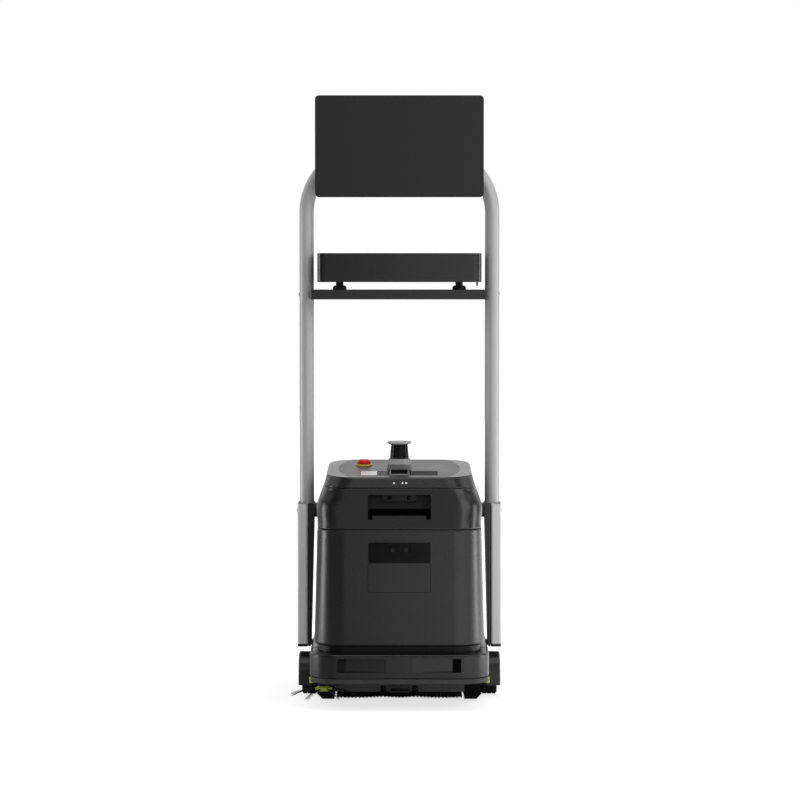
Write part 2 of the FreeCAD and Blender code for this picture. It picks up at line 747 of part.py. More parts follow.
def depth_camera():
    """Camera bar on the back wall of the grip pocket, with two lenses."""
    back = pocket_back()
    z1 = seam_z + POCKET_BOTTOM + POCKET_HEIGHT - PANEL_GAP
    z0 = z1 - CAMERA_HEIGHT
    bar = front_prism(-CAMERA_HALF, CAMERA_HALF, z0, z1, CAMERA_HEIGHT / 3,
                      back - CAMERA_DEPTH, back)
    lenses = [cylinder(CAMERA_LENS_RADIUS, (x, back - CAMERA_DEPTH - SKIN, (z0 + z1) / 2),
                       (x, back - CAMERA_DEPTH / 2, (z0 + z1) / 2))
              for x in (-CAMERA_LENS_SPACING / 2, CAMERA_LENS_SPACING / 2)]
    return fuse(bar, *lenses)


def panel_wire(margin, z):
    """Outline of the deck panel: straight front and rear, bowed sides."""
    half, front, rear, corner = DECK_PLAN
    y0 = front + PANEL_FRONT - margin
    y1 = rear - PANEL_REAR + margin
    middle = (y0 + y1) / 2
    bow = half - PANEL_SIDE + margin
    end = bow - PANEL_BOW
    return Part.Wire([
        Part.LineSegment(V(-end, y0, z), V(end, y0, z)).toShape(),
        Part.Arc(V(end, y0, z), V(bow, middle, z), V(end, y1, z)).toShape(),
        Part.LineSegment(V(end, y1, z), V(-end, y1, z)).toShape(),
        Part.Arc(V(-end, y1, z), V(-bow, middle, z), V(-end, y0, z)).toShape()])


def stop_bore(radius, z0, z1):
    return cylinder(radius, (stop_x, STOP_Y, z0), (stop_x, STOP_Y, z1))


def light_positions():
    """Middle of each status light on the lid's front face, before the rake."""
    y = (LID_PLAN[1] + deck_front) / 2
    return [(x, y, lid_z + LID_HEIGHT / 2) for x in LIGHT_PLACES]


def light_axis():
    """Outward direction of the lid's sloping front face, before the rake."""
    length = math.hypot(LID_HEIGHT, DECK_FRONT)
    return V(0, -LID_HEIGHT / length, DECK_FRONT / length)


def light_cylinders(radius, proud):
    axis = light_axis()
    return [Part.makeCylinder(radius, LIGHT_DEPTH + proud, V(*p) - axis * LIGHT_DEPTH, axis)
            for p in light_positions()]


def top_lid():
    outer = Part.makeLoft([plan_wire(LID_PLAN, lid_z), plan_wire(DECK_PLAN, deck_z)], True, True)
    outer = rounded_at(outer, DECK_ROUND, (0, 0, deck_z), (0, 0, 1))
    outer = rounded_at(outer, LID_SEAM_ROUND, (0, 0, lid_z), (0, 0, 1))
    ceiling = deck_z - PANEL_THICKNESS - LID_WALL
    inner = Part.makeLoft([plan_wire(shrink(LID_PLAN, COVER_WALL), lid_z),
                           plan_wire(shrink(DECK_PLAN, COVER_WALL), ceiling)], True, True)
    recess = Part.Face(panel_wire(DECK_GROOVE, deck_z - PANEL_THICKNESS)).extrude(
        V(0, 0, PANEL_THICKNESS + SKIN))
    lid = outer.cut(inner).cut(recess)
    lid = lid.cut(stop_bore(STOP_STEM_RADIUS + STOP_BORE_PLAY, lid_z, deck_z + SKIN))
    for hole in light_cylinders(LIGHT_RADIUS + PLAY, SKIN):
        lid = lid.cut(hole)
    return raked(lid)


def status_lights():
    return group([raked(light) for light in light_cylinders(LIGHT_RADIUS, 0)])


def deck_plate(x0, x1, clearance, z0, z1):
    y0 = deck_front + DECK_PLATE_FRONT
    return box((x0 - clearance, x1 + clearance),
               (y0 - clearance, y0 + DECK_PLATE_LENGTH + clearance), (z0, z1))


def screen_span():
    return -DECK_PLATE_GAP - STRIP_WIDTH, -DECK_PLATE_GAP - STRIP_WIDTH + SCREEN_WIDTH


def strip_spans():
    """The dark plate beside the screen, and the one on the other side."""
    return [(screen_span()[1], -DECK_PLATE_GAP), (DECK_PLATE_GAP, DECK_PLATE_GAP + STRIP_WIDTH)]


def deck_panel():
    panel = Part.Face(panel_wire(0, deck_z - PANEL_THICKNESS)).extrude(V(0, 0, PANEL_THICKNESS))
    panel = panel.cut(stop_bore(STOP_STEM_RADIUS + STOP_BORE_PLAY, lid_z, deck_z + SKIN))
    for x0, x1 in (-DECK_PLATE_GAP - STRIP_WIDTH, -DECK_PLATE_GAP), strip_spans()[1]:
        panel = panel.cut(deck_plate(x0, x1, PLAY, deck_z - DECK_PLATE_SUNK, deck_z + SKIN))
    return raked(panel)


def status_screen():
    x0, x1 = screen_span()
    z0 = deck_z - DECK_PLATE_SUNK
    return raked(deck_plate(x0, x1, 0, z0, z0 + DECK_PLATE))


def deck_windows():
    """Dark glossy plates in the deck, and the sensor window on the scanner's tongue."""
    z0 = deck_z - DECK_PLATE_SUNK
    plates = [raked(deck_plate(x0, x1, 0, z0, z0 + DECK_PLATE)) for x0, x1 in strip_spans()]
    top = deck_z + TONGUE_HEIGHT - DECK_PLATE_SUNK
    half = TONGUE_HALF - TONGUE_MARGIN
    plates.append(raked(deck_plate(-half, half, 0, top, top + DECK_PLATE)))
    return group(plates)


# Scanner

def scanner_base_z():
    """Top of the scanner's level base: the deck's height there plus the base's own."""
    rise = math.tan(math.radians(RAKE)) * (SCANNER_Y - LID_PLAN[1])
    return deck_z + rise + SCANNER_HEIGHT


def scanner_base():
    top = scanner_base_z()
    foot = plan_wire((SCANNER_FOOT_HALF, SCANNER_Y - SCANNER_FOOT_DEPTH,
                      SCANNER_Y + SCANNER_FOOT_DEPTH, SCANNER_FOOT_CORNER), lid_z)
    head = plan_wire((SCANNER_TOP_HALF, SCANNER_Y - SCANNER_TOP_DEPTH,
                      SCANNER_Y + SCANNER_TOP_DEPTH, SCANNER_TOP_CORNER), top)
    block = Part.makeLoft([foot, head], True, True)
    y0 = deck_front + DECK_PLATE_FRONT - 2 * TONGUE_MARGIN
    tongue = box((-TONGUE_HALF, TONGUE_HALF), (y0, SCANNER_Y), (lid_z, deck_z + TONGUE_HEIGHT))
    nose = [edge for edge in tongue.Edges
            if edge.BoundBox.YLength < PLAY and edge.BoundBox.ZMin > lid_z + SKIN
            and edge.BoundBox.YMin < y0 + SKIN]
    tongue = tongue.makeChamfer(TONGUE_NOSE, nose)
    half = TONGUE_HALF - TONGUE_MARGIN
    tongue = tongue.cut(deck_plate(-half, half, PLAY, deck_z + TONGUE_HEIGHT - DECK_PLATE_SUNK,
                                   deck_z + TONGUE_HEIGHT + SKIN))
    below = raked(box((-2 * BODY_HALF, 2 * BODY_HALF), (-2 * BODY_FRONT, 2 * BODY_REAR),
                      (0, deck_z)))
    spindle = cylinder(SPINDLE_RADIUS, (0, SCANNER_Y, top - SKIN),
                       (0, SCANNER_Y, top + SPINDLE_HEIGHT))
    return fuse(block.cut(below), raked(tongue).cut(below), spindle)


def scanner_window():
    z0 = scanner_base_z()
    z1 = z0 + SCANNER_WINDOW
    return turned_z([(SCANNER_RADIUS - SCANNER_WALL, z0), (SCANNER_RADIUS, z0),
                     (SCANNER_NECK, z1), (SCANNER_NECK - SCANNER_WALL, z1)], 0, SCANNER_Y)


def scanner_cap():
    z0 = scanner_base_z() + SCANNER_WINDOW
    z1 = z0 + SCANNER_CAP
    rim = SCANNER_CAP_RADIUS
    return turned_z([(0, z0), (SCANNER_NECK, z0), (rim, z0 + SCANNER_CAP_BEVEL),
                     (rim, z1 - SCANNER_CAP_BEVEL / 2), (rim - SCANNER_CAP_BEVEL, z1), (0, z1)],
                    0, SCANNER_Y)


def scanner_rotor():
    """Spinning head on the spindle, with a flat that carries the beam windows."""
    z0 = scanner_base_z() + SEAT_GAP
    drum = cylinder(ROTOR_RADIUS, (0, SCANNER_Y, z0), (0, SCANNER_Y, z0 + ROTOR_HEIGHT))
    bore = cylinder(SPINDLE_RADIUS + PLAY, (0, SCANNER_Y, z0 - SKIN),
                    (0, SCANNER_Y, z0 + SPINDLE_HEIGHT))
    flat = box((-ROTOR_RADIUS, ROTOR_RADIUS),
               (SCANNER_Y - 2 * ROTOR_RADIUS, SCANNER_Y - ROTOR_FLAT),
               (z0 + ROTOR_HEIGHT / 4, z0 + ROTOR_HEIGHT + SKIN))
    return drum.cut(bore).cut(flat)


# Emergency stop

def stop_collar():
    z0 = deck_z
    inner = STOP_COLLAR_RADIUS - STOP_COLLAR_WALL
    bore = STOP_STEM_RADIUS + PLAY
    floor = z0 + STOP_COLLAR_FLOOR
    top = z0 + STOP_COLLAR
    return raked(turned_z([(bore, z0), (STOP_COLLAR_RADIUS, z0),
                           (STOP_COLLAR_RADIUS, top - STOP_COLLAR_FLOOR),
                           (STOP_COLLAR_RADIUS - STOP_COLLAR_FLOOR, top), (inner, top),
                           (inner, floor), (bore, floor)], stop_x, STOP_Y))


def stop_button():
    z0 = deck_z + STOP_COLLAR_FLOOR + STOP_TRAVEL + SEAT_GAP
    head = cylinder(STOP_HEAD_RADIUS, (stop_x, STOP_Y, z0), (stop_x, STOP_Y, z0 + STOP_HEAD))
    head = rounded_at(head, STOP_HEAD_ROUND, (0, 0, z0 + STOP_HEAD), (0, 0, 1))
    stem = stop_bore(STOP_STEM_RADIUS, z0 - STOP_STEM, z0 + SKIN)
    return raked(fuse(head, stem))


# Chassis, skirt and bumper

def guide_bore_end():
    """Y of the blind end of the bumper's guide bores at rest."""
    return bumper_front + BUMPER_WALL - GUIDE_SINK


def chassis_pan():
    pan = plan_prism(CHASSIS_PLAN, chassis_z, body_z)
    pan = pan.cut(plan_prism(shrink(CHASSIS_PLAN, RIM), plate_top, body_z + SKIN))
    z = chassis_z + GUIDE_RISE
    front = CHASSIS_PLAN[1]
    tip = guide_bore_end() + BUMPER_TRAVEL + BUMPER_CLEAR
    pins = [cylinder(GUIDE_RADIUS, (x, front + SKIN, z), (x, tip, z))
            for x in (-GUIDE_X, GUIDE_X)]
    pan = pan.multiFuse(pins)
    bores = [(x, caster_y, CASTER_STEM_RADIUS) for x in (-caster_x, caster_x)]
    bores.append((0, ROLLER_Y, LIFT_ROD_RADIUS))
    bores.append((pod_stem_x, pod_stem_y, POD_STEM_RADIUS))
    for x, y, radius in bores:
        pan = pan.cut(cylinder(radius + PLAY, (x, y, chassis_z - SKIN), (x, y, plate_top + SKIN)))
    return pan


def arch_prism(radius, bottom, x0, x1):
    """Wheel-arch outline seen from the side: round over the wheel, straight down to bottom."""
    top = WHEEL_RADIUS
    front, rear = WHEEL_Y - radius, WHEEL_Y + radius
    wire = Part.Wire([
        Part.LineSegment(V(x0, front, bottom), V(x0, front, top)).toShape(),
        Part.Arc(V(x0, front, top), V(x0, WHEEL_Y, top + radius), V(x0, rear, top)).toShape(),
        Part.LineSegment(V(x0, rear, top), V(x0, rear, bottom)).toShape(),
        Part.LineSegment(V(x0, rear, bottom), V(x0, front, bottom)).toShape()])
    return Part.Face(wire).extrude(V(x1 - x0, 0, 0))


def base_skirt():
    """Fixed skirt round the sides and rear, hung from the chassis rim by its top ledge."""
    ring = plan_prism(SKIRT_PLAN, skirt_bottom, skirt_top)
    ring = rounded_at(ring, SKIRT_WALL, (0, 0, skirt_top), (0, 0, 1))
    ring = ring.cut(plan_prism(shrink(SKIRT_PLAN, SKIRT_WALL), skirt_bottom - SKIN,
                               skirt_top - LEDGE))
    ring = ring.cut(plan_prism(CHASSIS_PLAN, skirt_bottom - SKIN, skirt_top + SKIN))
    front_end = arm_end + BUMPER_TRAVEL + BUMPER_CLEAR
    ring = ring.cut(box((-2 * skirt_half, 2 * skirt_half), (2 * bumper_front, front_end),
                        (0, body_z)))
    for side in (-1, 1):
        ring = ring.cut(arch_prism(arch_radius, 0, side * (BODY_HALF - RIM), side * tyre_outer))
    return ring


def wheel_arch(side):
    x1 = tyre_outer + ARCH_SIDE_GAP
    outer = arch_prism(arch_radius + ARCH_WALL, ARCH_BOTTOM, side * skirt_half,
                       side * (x1 + ARCH_WALL))
    rim = [edge for edge in edges_at(outer, (side * (x1 + ARCH_WALL), 0, 0), (1, 0, 0))
           if edge.BoundBox.ZMax > ARCH_BOTTOM + SKIN]
    outer = outer.makeFillet(min(ARCH_ROUND, ARCH_WALL + SKIN), rim)
    return outer.cut(arch_prism(arch_radius, 0, side * (skirt_half - SKIN), side * x1))


def charge_contacts():
    """Two sprung charging plates on the rear of the skirt."""
    y0 = SKIRT_PLAN[2]
    z = (skirt_bottom + skirt_top) / 2
    plates = []
    for x in (-CONTACT_SPACING / 2, CONTACT_SPACING / 2):
        plates.append(front_prism(x - CONTACT_WIDTH / 2, x + CONTACT_WIDTH / 2,
                                  z - CONTACT_HEIGHT / 2, z + CONTACT_HEIGHT / 2,
                                  CONTACT_WIDTH / 4, y0, y0 + CONTACT_PROUD))
    return group(plates)


def front_of_arms():
    return box((-2 * skirt_half, 2 * skirt_half), (2 * bumper_front, arm_end), (0, body_z))


def scoop_x(side):
    """Inner end, start of the flat and outer end of a scoop in the bumper."""
    return side * SCOOP_START, side * (scoop_end - SCOOP_FLAT), side * scoop_end


def front_bumper():
    """Wrap-round bumper with two sloping scoops, carried on the chassis guide pins."""
    shell = plan_prism(SKIRT_PLAN, strip_top, skirt_top)
    shell = rounded_at(shell, BUMPER_ROUND, (0, 0, skirt_top), (0, 0, 1))
    shell = shell.cut(plan_prism(shrink(SKIRT_PLAN, BUMPER_WALL), strip_top - SKIN,
                                 skirt_top - LEDGE))
    half, front, rear, corner = CHASSIS_PLAN
    throat = (half + BUMPER_CLEAR, front - BUMPER_TRAVEL - BUMPER_CLEAR, rear, corner)
    shell = shell.cut(plan_prism(throat, strip_top - SKIN, skirt_top + SKIN))
    shell = shell.common(front_of_arms())
    z = chassis_z + GUIDE_RISE
    wall_y = bumper_front + BUMPER_WALL
    boss_end = front - BUMPER_TRAVEL - BUMPER_CLEAR
    for x in (-GUIDE_X, GUIDE_X):
        boss = cylinder(GUIDE_RADIUS + GUIDE_WALL, (x, wall_y - SKIN, z), (x, boss_end, z))
        shell = shell.fuse(boss)
    scoop_z = skirt_bottom + SCOOP_BOTTOM
    for side in (-1, 1):
        near, flat, far = scoop_x(side)
        points = [V(near, bumper_front - SKIN, scoop_z), V(far, bumper_front - SKIN, scoop_z),
                  V(far, bumper_front + SCOOP_DEPTH, scoop_z),
                  V(flat, bumper_front + SCOOP_DEPTH, scoop_z),
                  V(near, bumper_front + SKIN, scoop_z)]
        shell = shell.cut(polygon_prism(points, V(0, 0, SCOOP_HEIGHT)))
    for x in (-GUIDE_X, GUIDE_X):
        shell = shell.cut(cylinder(GUIDE_RADIUS + PLAY, (x, guide_bore_end(), z),
                                   (x, boss_end + SKIN, z)))
    return shell


def bumper_strip():
    """Rubber strip under the bumper, with a groove all along its top."""
    crest = strip_top - STRIP_GROOVE
    plan = shrink(SKIRT_PLAN, STRIP_INSET)
    outer = plan_prism(plan, skirt_bottom, crest)
    outer = rounded_at(outer, BUMPER_ROUND / 2, (0, 0, skirt_bottom), (0, 0, 1))
    outer = rounded_at(outer, BUMPER_ROUND / 3, (0, 0, crest), (0, 0, 1))
    neck = plan_prism(shrink(plan, STRIP_GROOVE_DEPTH), skirt_bottom + BUMPER_ROUND, strip_top)
    inner = plan_prism(shrink(plan, STRIP_WALL), skirt_bottom - SKIN, strip_top + SKIN)
    return outer.fuse(neck).cut(inner).common(front_of_arms())


def bumper_sensors():
    """Dark sensor windows on the flat outer ends of the two scoops."""
    floor = bumper_front + SCOOP_DEPTH
    z0 = skirt_bottom + SCOOP_BOTTOM + SEAT_GAP
    z1 = skirt_bottom + SCOOP_BOTTOM + SCOOP_HEIGHT - SEAT_GAP
    windows = []
    for side in (-1, 1):
        near, flat, far = scoop_x(side)
        windows.append(box((flat + side * SEAT_GAP, far - side * SEAT_GAP),
                           (floor - SENSOR, floor), (z0, z1)))
    return group(windows)


# Drive wheels and casters

def tyre(side):
    """Solid tyre with bevelled shoulders and two grooves round its tread."""
    x0 = tyre_inner
    x1 = tyre_outer
    r0 = WHEEL_RADIUS - TYRE
    r1 = WHEEL_RADIUS
    third = TYRE_WIDTH / 3
    profile = [(x0, r0), (x0, r1 - TYRE_BEVEL), (x0 + TYRE_BEVEL, r1)]
    for groove in (x0 + third, x0 + 2 * third):
        profile += [(groove - TREAD_GROOVE / 2, r1), (groove - TREAD_GROOVE / 2, r1 - TREAD_GROOVE),
                    (groove + TREAD_GROOVE / 2, r1 - TREAD_GROOVE), (groove + TREAD_GROOVE / 2, r1)]
    profile += [(x1 - TYRE_BEVEL, r1), (x1, r1 - TYRE_BEVEL), (x1, r0)]
    return turned_x([(side * x, r) for x, r in profile], WHEEL_Y, WHEEL_RADIUS)


def wheel_hub(side):
    """Dished hub with its drive shaft, which runs into the gear motor."""
    x0 = tyre_inner + HUB_INSET
    x1 = tyre_outer - HUB_INSET
    rim = WHEEL_RADIUS - TYRE
    dish = HUB_DISH_RADIUS
    profile = [(x0 - AXLE_LENGTH, 0), (x0 - AXLE_LENGTH, AXLE_RADIUS), (x0, AXLE_RADIUS), (x0, rim),
               (x1, rim), (x1, dish), (x1 - HUB_DISH, HUB_DISH_FLOOR),
               (x1 - HUB_DISH, HUB_CAP_RADIUS), (x1 - HUB_INSET, HUB_CAP_RADIUS), (x1 - HUB_INSET, 0)]
    return turned_x([(side * x, r) for x, r in profile], WHEEL_Y, WHEEL_RADIUS)


def drive_motor(side):
    """Gear motor on an angle bracket under the chassis plate."""
    plate_in = motor_face - MOTOR_PLATE
    body = cylinder(MOTOR_RADIUS, (side * (plate_in - MOTOR_LENGTH), WHEEL_Y, WHEEL_RADIUS),
                    (side * plate_in, WHEEL_Y, WHEEL_RADIUS))
    ys = (WHEEL_Y - MOTOR_PLATE_HALF, WHEEL_Y + MOTOR_PLATE_HALF)
    upright = box((side * plate_in, side * motor_face), ys,
                  (WHEEL_RADIUS - MOTOR_PLATE_DROP, chassis_z))
    shelf = box((side * (motor_face - MOTOR_SHELF), side * motor_face), ys,
                (chassis_z - MOTOR_PLATE, chassis_z))
    socket = cylinder(AXLE_RADIUS + PLAY,
                      (side * (tyre_inner + HUB_INSET - AXLE_LENGTH - SKIN), WHEEL_Y, WHEEL_RADIUS),
                      (side * (motor_face + SKIN), WHEEL_Y, WHEEL_RADIUS))
    return fuse(body, upright, shelf).cut(socket)


def caster_axle(side):
    return side * caster_x, caster_y + CASTER_TRAIL, CASTER_RADIUS


def caster_fork(side):
    """Swivel fork with its stem and wheel pin; the wheel trails behind the stem."""
    x, y, z = caster_axle(side)
    inner = CASTER_WIDTH / 2 + CASTER_GAP
    outer = inner + CASTER_CHEEK
    top = chassis_z - SEAT_GAP
    crown = box((x - outer, x + outer), (caster_y - outer, caster_y + outer), (top - CASTER_TOP, top))
    stem = cylinder(CASTER_STEM_RADIUS, (x, caster_y, top - SKIN), (x, caster_y, plate_top))
    pieces = [crown, stem]
    for cheek in (-1, 1):
        x0 = x + cheek * inner
        points = [V(x0, caster_y - CASTER_CHEEK_HALF, top - SKIN),
                  V(x0, caster_y + CASTER_CHEEK_HALF, top - SKIN),
                  V(x0, y + CASTER_CHEEK_HALF / 2, z - CASTER_CHEEK_HALF / 2),
                  V(x0, y - CASTER_CHEEK_HALF / 2, z - CASTER_CHEEK_HALF / 2)]
        pieces.append(polygon_prism(points, V(cheek * CASTER_CHEEK, 0, 0)))
    pieces.append(cylinder(CASTER_AXLE_RADIUS, (x - outer, y, z), (x + outer, y, z)))
    return fuse(*pieces)


def caster_wheel(side):
    x, y, z = caster_axle(side)
    half = CASTER_WIDTH / 2
    bore = CASTER_AXLE_RADIUS + PLAY
    profile = [(-half, bore), (-half, CASTER_RADIUS - CASTER_BEVEL), (-half + CASTER_BEVEL, CASTER_RADIUS),
               (half - CASTER_BEVEL, CASTER_RADIUS), (half, CASTER_RADIUS - CASTER_BEVEL), (half, bore)]
    return turned_x([(x + dx, r) for dx, r in profile], y, z)


# Sweeping roller, its tunnel and lift

def lift_rod_top():
    return roller_z + ROLLER_RADIUS + TUNNEL_GAP + TUNNEL_WALL + LIFT_ROD


def bearing_block(side, half_depth):
    """Closed block at an end of the tunnel; its lower outer corner is slanted."""
    foot = roller_z - END_DROP
    front = ROLLER_Y - half_depth
    outline = [(tunnel_half, roller_z), (tunnel_end, roller_z), (tunnel_end, foot + END_SLANT_RISE),
               (tunnel_end - END_SLANT, foot), (tunnel_half, foot)]
    return polygon_prism([V(side * x, front, z) for x, z in outline], V(0, 2 * half_depth, 0))


def brush_tunnel():
    """Rolled cover over the roller with a bearing block at each end and the rod that lifts it."""
    inner = ROLLER_RADIUS + TUNNEL_GAP
    outer = inner + TUNNEL_WALL
    lip_z = roller_z - TUNNEL_LIP
    barrel = cylinder(outer, (-tunnel_end, ROLLER_Y, roller_z), (tunnel_end, ROLLER_Y, roller_z))
    barrel = barrel.cut(box((-2 * tunnel_end, 2 * tunnel_end), (ROLLER_Y - 2 * outer, ROLLER_Y + 2 * outer),
                            (roller_z - 2 * outer, roller_z)))
    lips = box((-tunnel_half, tunnel_half), (ROLLER_Y - outer, ROLLER_Y + outer), (lip_z, roller_z))
    solid = fuse(barrel, lips, bearing_block(-1, outer), bearing_block(1, outer))
    hollow = cylinder(inner, (-tunnel_half, ROLLER_Y, roller_z), (tunnel_half, ROLLER_Y, roller_z))
    hollow = hollow.fuse(box((-tunnel_half, tunnel_half), (ROLLER_Y - inner, ROLLER_Y + inner),
                             (roller_z - 2 * outer, roller_z)))
    bearing = cylinder(CORE_AXLE_RADIUS + PLAY, (-tunnel_half - END_BORE, ROLLER_Y, roller_z),
                       (-tunnel_half + SKIN, ROLLER_Y, roller_z))
    rod = cylinder(LIFT_ROD_RADIUS, (0, ROLLER_Y, roller_z + outer - TUNNEL_WALL / 2),
                   (0, ROLLER_Y, lift_rod_top()))
    return solid.cut(hollow).cut(bearing).fuse(rod)


def brush_lift():
    """Linear lift on the chassis plate, round the tunnel's rod."""
    bore_end = lift_rod_top() + SKIN
    body = cylinder(LIFT_RADIUS, (0, ROLLER_Y, plate_top), (0, ROLLER_Y, bore_end + LIFT_CAP))
    bore = cylinder(LIFT_ROD_RADIUS + PLAY, (0, ROLLER_Y, plate_top - SKIN), (0, ROLLER_Y, bore_end))
    return body.cut(bore)


def roller_core():
    """Hollow core: a plug with the idle axle on the left, a web for the motor shaft inside."""
    tube = turned_x([(-roller_half, CORE_RADIUS - CORE_WALL), (-roller_half, CORE_RADIUS),
                     (roller_half, CORE_RADIUS), (roller_half, CORE_RADIUS - CORE_WALL)],
                    ROLLER_Y, roller_z)
    inside = CORE_RADIUS - CORE_WALL / 2
    plug = cylinder(inside, (-roller_half, ROLLER_Y, roller_z),
                    (-roller_half + CORE_PLUG, ROLLER_Y, roller_z))
    axle = cylinder(CORE_AXLE_RADIUS, (PLAY - tunnel_half - END_BORE, ROLLER_Y, roller_z),
                    (-roller_half + SKIN, ROLLER_Y, roller_z))
    web_end = tunnel_half - BRUSH_MOTOR_LENGTH - WEB_GAP
    web = cylinder(inside, (web_end - WEB, ROLLER_Y, roller_z), (web_end, ROLLER_Y, roller_z))
    bore = cylinder(BRUSH_SHAFT_RADIUS + PLAY, (web_end - WEB - SKIN, ROLLER_Y, roller_z),
                    (web_end + SKIN, ROLLER_Y, roller_z))
    return fuse(tube, plug, axle, web).cut(bore)


def brush_section(x, turn):
    """Cross-section of one brush row at x: a radial strip from inside the core to the tips."""
    angle = math.radians(turn)
    radial = V(0, math.cos(angle), math.sin(angle))
    across = V(0, -math.sin(angle), math.cos(angle)) * (BRUSH_THICKNESS / 2)
    centre = V(x, ROLLER_Y, roller_z)
    root = centre + radial * (CORE_RADIUS - CORE_WALL)
    tip = centre + radial * math.sqrt(ROLLER_RADIUS ** 2 - (BRUSH_THICKNESS / 2) ** 2)
    points = [root - across, tip - across, tip + across, root + across]
    return Part.makePolygon(points + points[:1])


def roller_brush():
    """Rows of bristle that run from the middle outwards in a chevron."""
    core = cylinder(CORE_RADIUS, (-roller_half - SKIN, ROLLER_Y, roller_z),
                    (roller_half + SKIN, ROLLER_Y, roller_z))
    rows = []
    for row in range(BRUSH_ROWS):
        start = 360 * row / BRUSH_ROWS
        halves = []
        for side in (-1, 1):
            shares = [step / BRUSH_STEPS for step in range(BRUSH_STEPS + 1)]
            sections = [brush_section(side * roller_half * s, start + BRUSH_TWIST * s) for s in shares]
            halves.append(Part.makeLoft(sections, True, True).cut(core))
        rows.append(halves[0].fuse(halves[1]))
    return group(rows)


def brush_motor():
    """Motor inside the roller, held by its flange on the right bearing block."""
    half = tunnel_half
    x0 = half - BRUSH_MOTOR_LENGTH
    return turned_x([(x0 - BRUSH_SHAFT, 0), (x0 - BRUSH_SHAFT, BRUSH_SHAFT_RADIUS),
                     (x0, BRUSH_SHAFT_RADIUS), (x0, BRUSH_MOTOR_RADIUS),
                     (half - END_GAP / 2, BRUSH_MOTOR_RADIUS), (half - END_GAP / 2, BRUSH_MOTOR_FLANGE),
                     (half, BRUSH_MOTOR_FLANGE), (half, 0)], ROLLER_Y, roller_z)


# Side brush

def side_hub():
    z1 = SIDE_HUB_Z + SIDE_HUB
    return turned_z([(0, SIDE_HUB_Z), (SIDE_HUB_FOOT, SIDE_HUB_Z),
                     (SIDE_HUB_RADIUS, SIDE_HUB_Z + SIDE_HUB_BEVEL),
                     (SIDE_HUB_RADIUS, z1 - SIDE_HUB_BEVEL),
                     (SIDE_HUB_CROWN, z1), (SIDE_SHAFT_RADIUS, z1),
                     (SIDE_SHAFT_RADIUS, z1 + SIDE_SHAFT), (0, z1 + SIDE_SHAFT)], side_x, side_y)


def side_tufts():
    """Bristle tufts that fan out from the hub and droop towards the floor."""
    hub = side_hub()
    z = SIDE_HUB_Z + SIDE_HUB / 2
    tufts = []
    for tuft in range(SIDE_TUFTS):
        angle = 2 * math.pi * tuft / SIDE_TUFTS
        out = V(math.cos(angle), math.sin(angle), 0)
        start = V(side_x, side_y, z) + out * (SIDE_HUB_RADIUS / 2)
        tip = V(side_x, side_y, z - SIDE_DROOP) + out * SIDE_REACH
        axis = tip - start
        cone = Part.makeCone(SIDE_TUFT_RADIUS, SIDE_TIP_RADIUS, axis.Length, start, axis)
        tufts.append(cone.cut(hub))
    return group(tufts)


def side_pod():
    """Brush motor pod that hangs from a stem through the chassis plate."""
    z0 = SIDE_HUB_Z + SIDE_HUB + SEAT_GAP
    z1 = z0 + POD_HEIGHT
    head = cylinder(POD_RADIUS, (side_x, side_y, z0), (side_x, side_y, z1))
    root = cylinder(POD_ARM, (pod_stem_x, pod_stem_y, z0), (pod_stem_x, pod_stem_y, z1))
    along = V(pod_stem_x - side_x, pod_stem_y - side_y, 0)
    across = V(-along.y, along.x, 0).normalize() * POD_ARM
    start = V(side_x, side_y, z0)
    points = [start - across, start + along - across, start + along + across, start + across]
    arm = polygon_prism(points, V(0, 0, POD_HEIGHT))
    stem = cylinder(POD_STEM_RADIUS, (pod_stem_x, pod_stem_y, z1 - SKIN),
                    (pod_stem_x, pod_stem_y, plate_top + SIDE_TRAVEL + POD_STEM_SPARE))
    bore = cylinder(SIDE_SHAFT_RADIUS + PLAY, (side_x, side_y, z0 - SKIN),
                    (side_x, side_y, z0 + SIDE_SHAFT))
    return fuse(head, root, arm, stem).cut(bore)


# Inside the body

def battery_pack():
    plan = (BATTERY_HALF, BATTERY_FRONT, BATTERY_FRONT + BATTERY_LENGTH, BATTERY_ROUND)
    pack = plan_prism(plan, plate_top, plate_top + BATTERY_HEIGHT)
    return rounded_at(pack, BATTERY_ROUND / 2, (0, 0, plate_top + BATTERY_HEIGHT), (0, 0, 1))


def suction_fan():
    """Blower: a flat drum with an inlet collar on top."""
    z1 = plate_top + FAN_HEIGHT
    bore = FAN_INLET_RADIUS - FAN_INLET_WALL
    return turned_z([(0, plate_top), (FAN_RADIUS, plate_top), (FAN_RADIUS, z1),
                     (FAN_INLET_RADIUS, z1), (FAN_INLET_RADIUS, z1 + FAN_INLET),
                     (bore, z1 + FAN_INLET), (bore, z1 - FAN_INLET), (0, z1 - FAN_INLET)], FAN_X, FAN_Y)


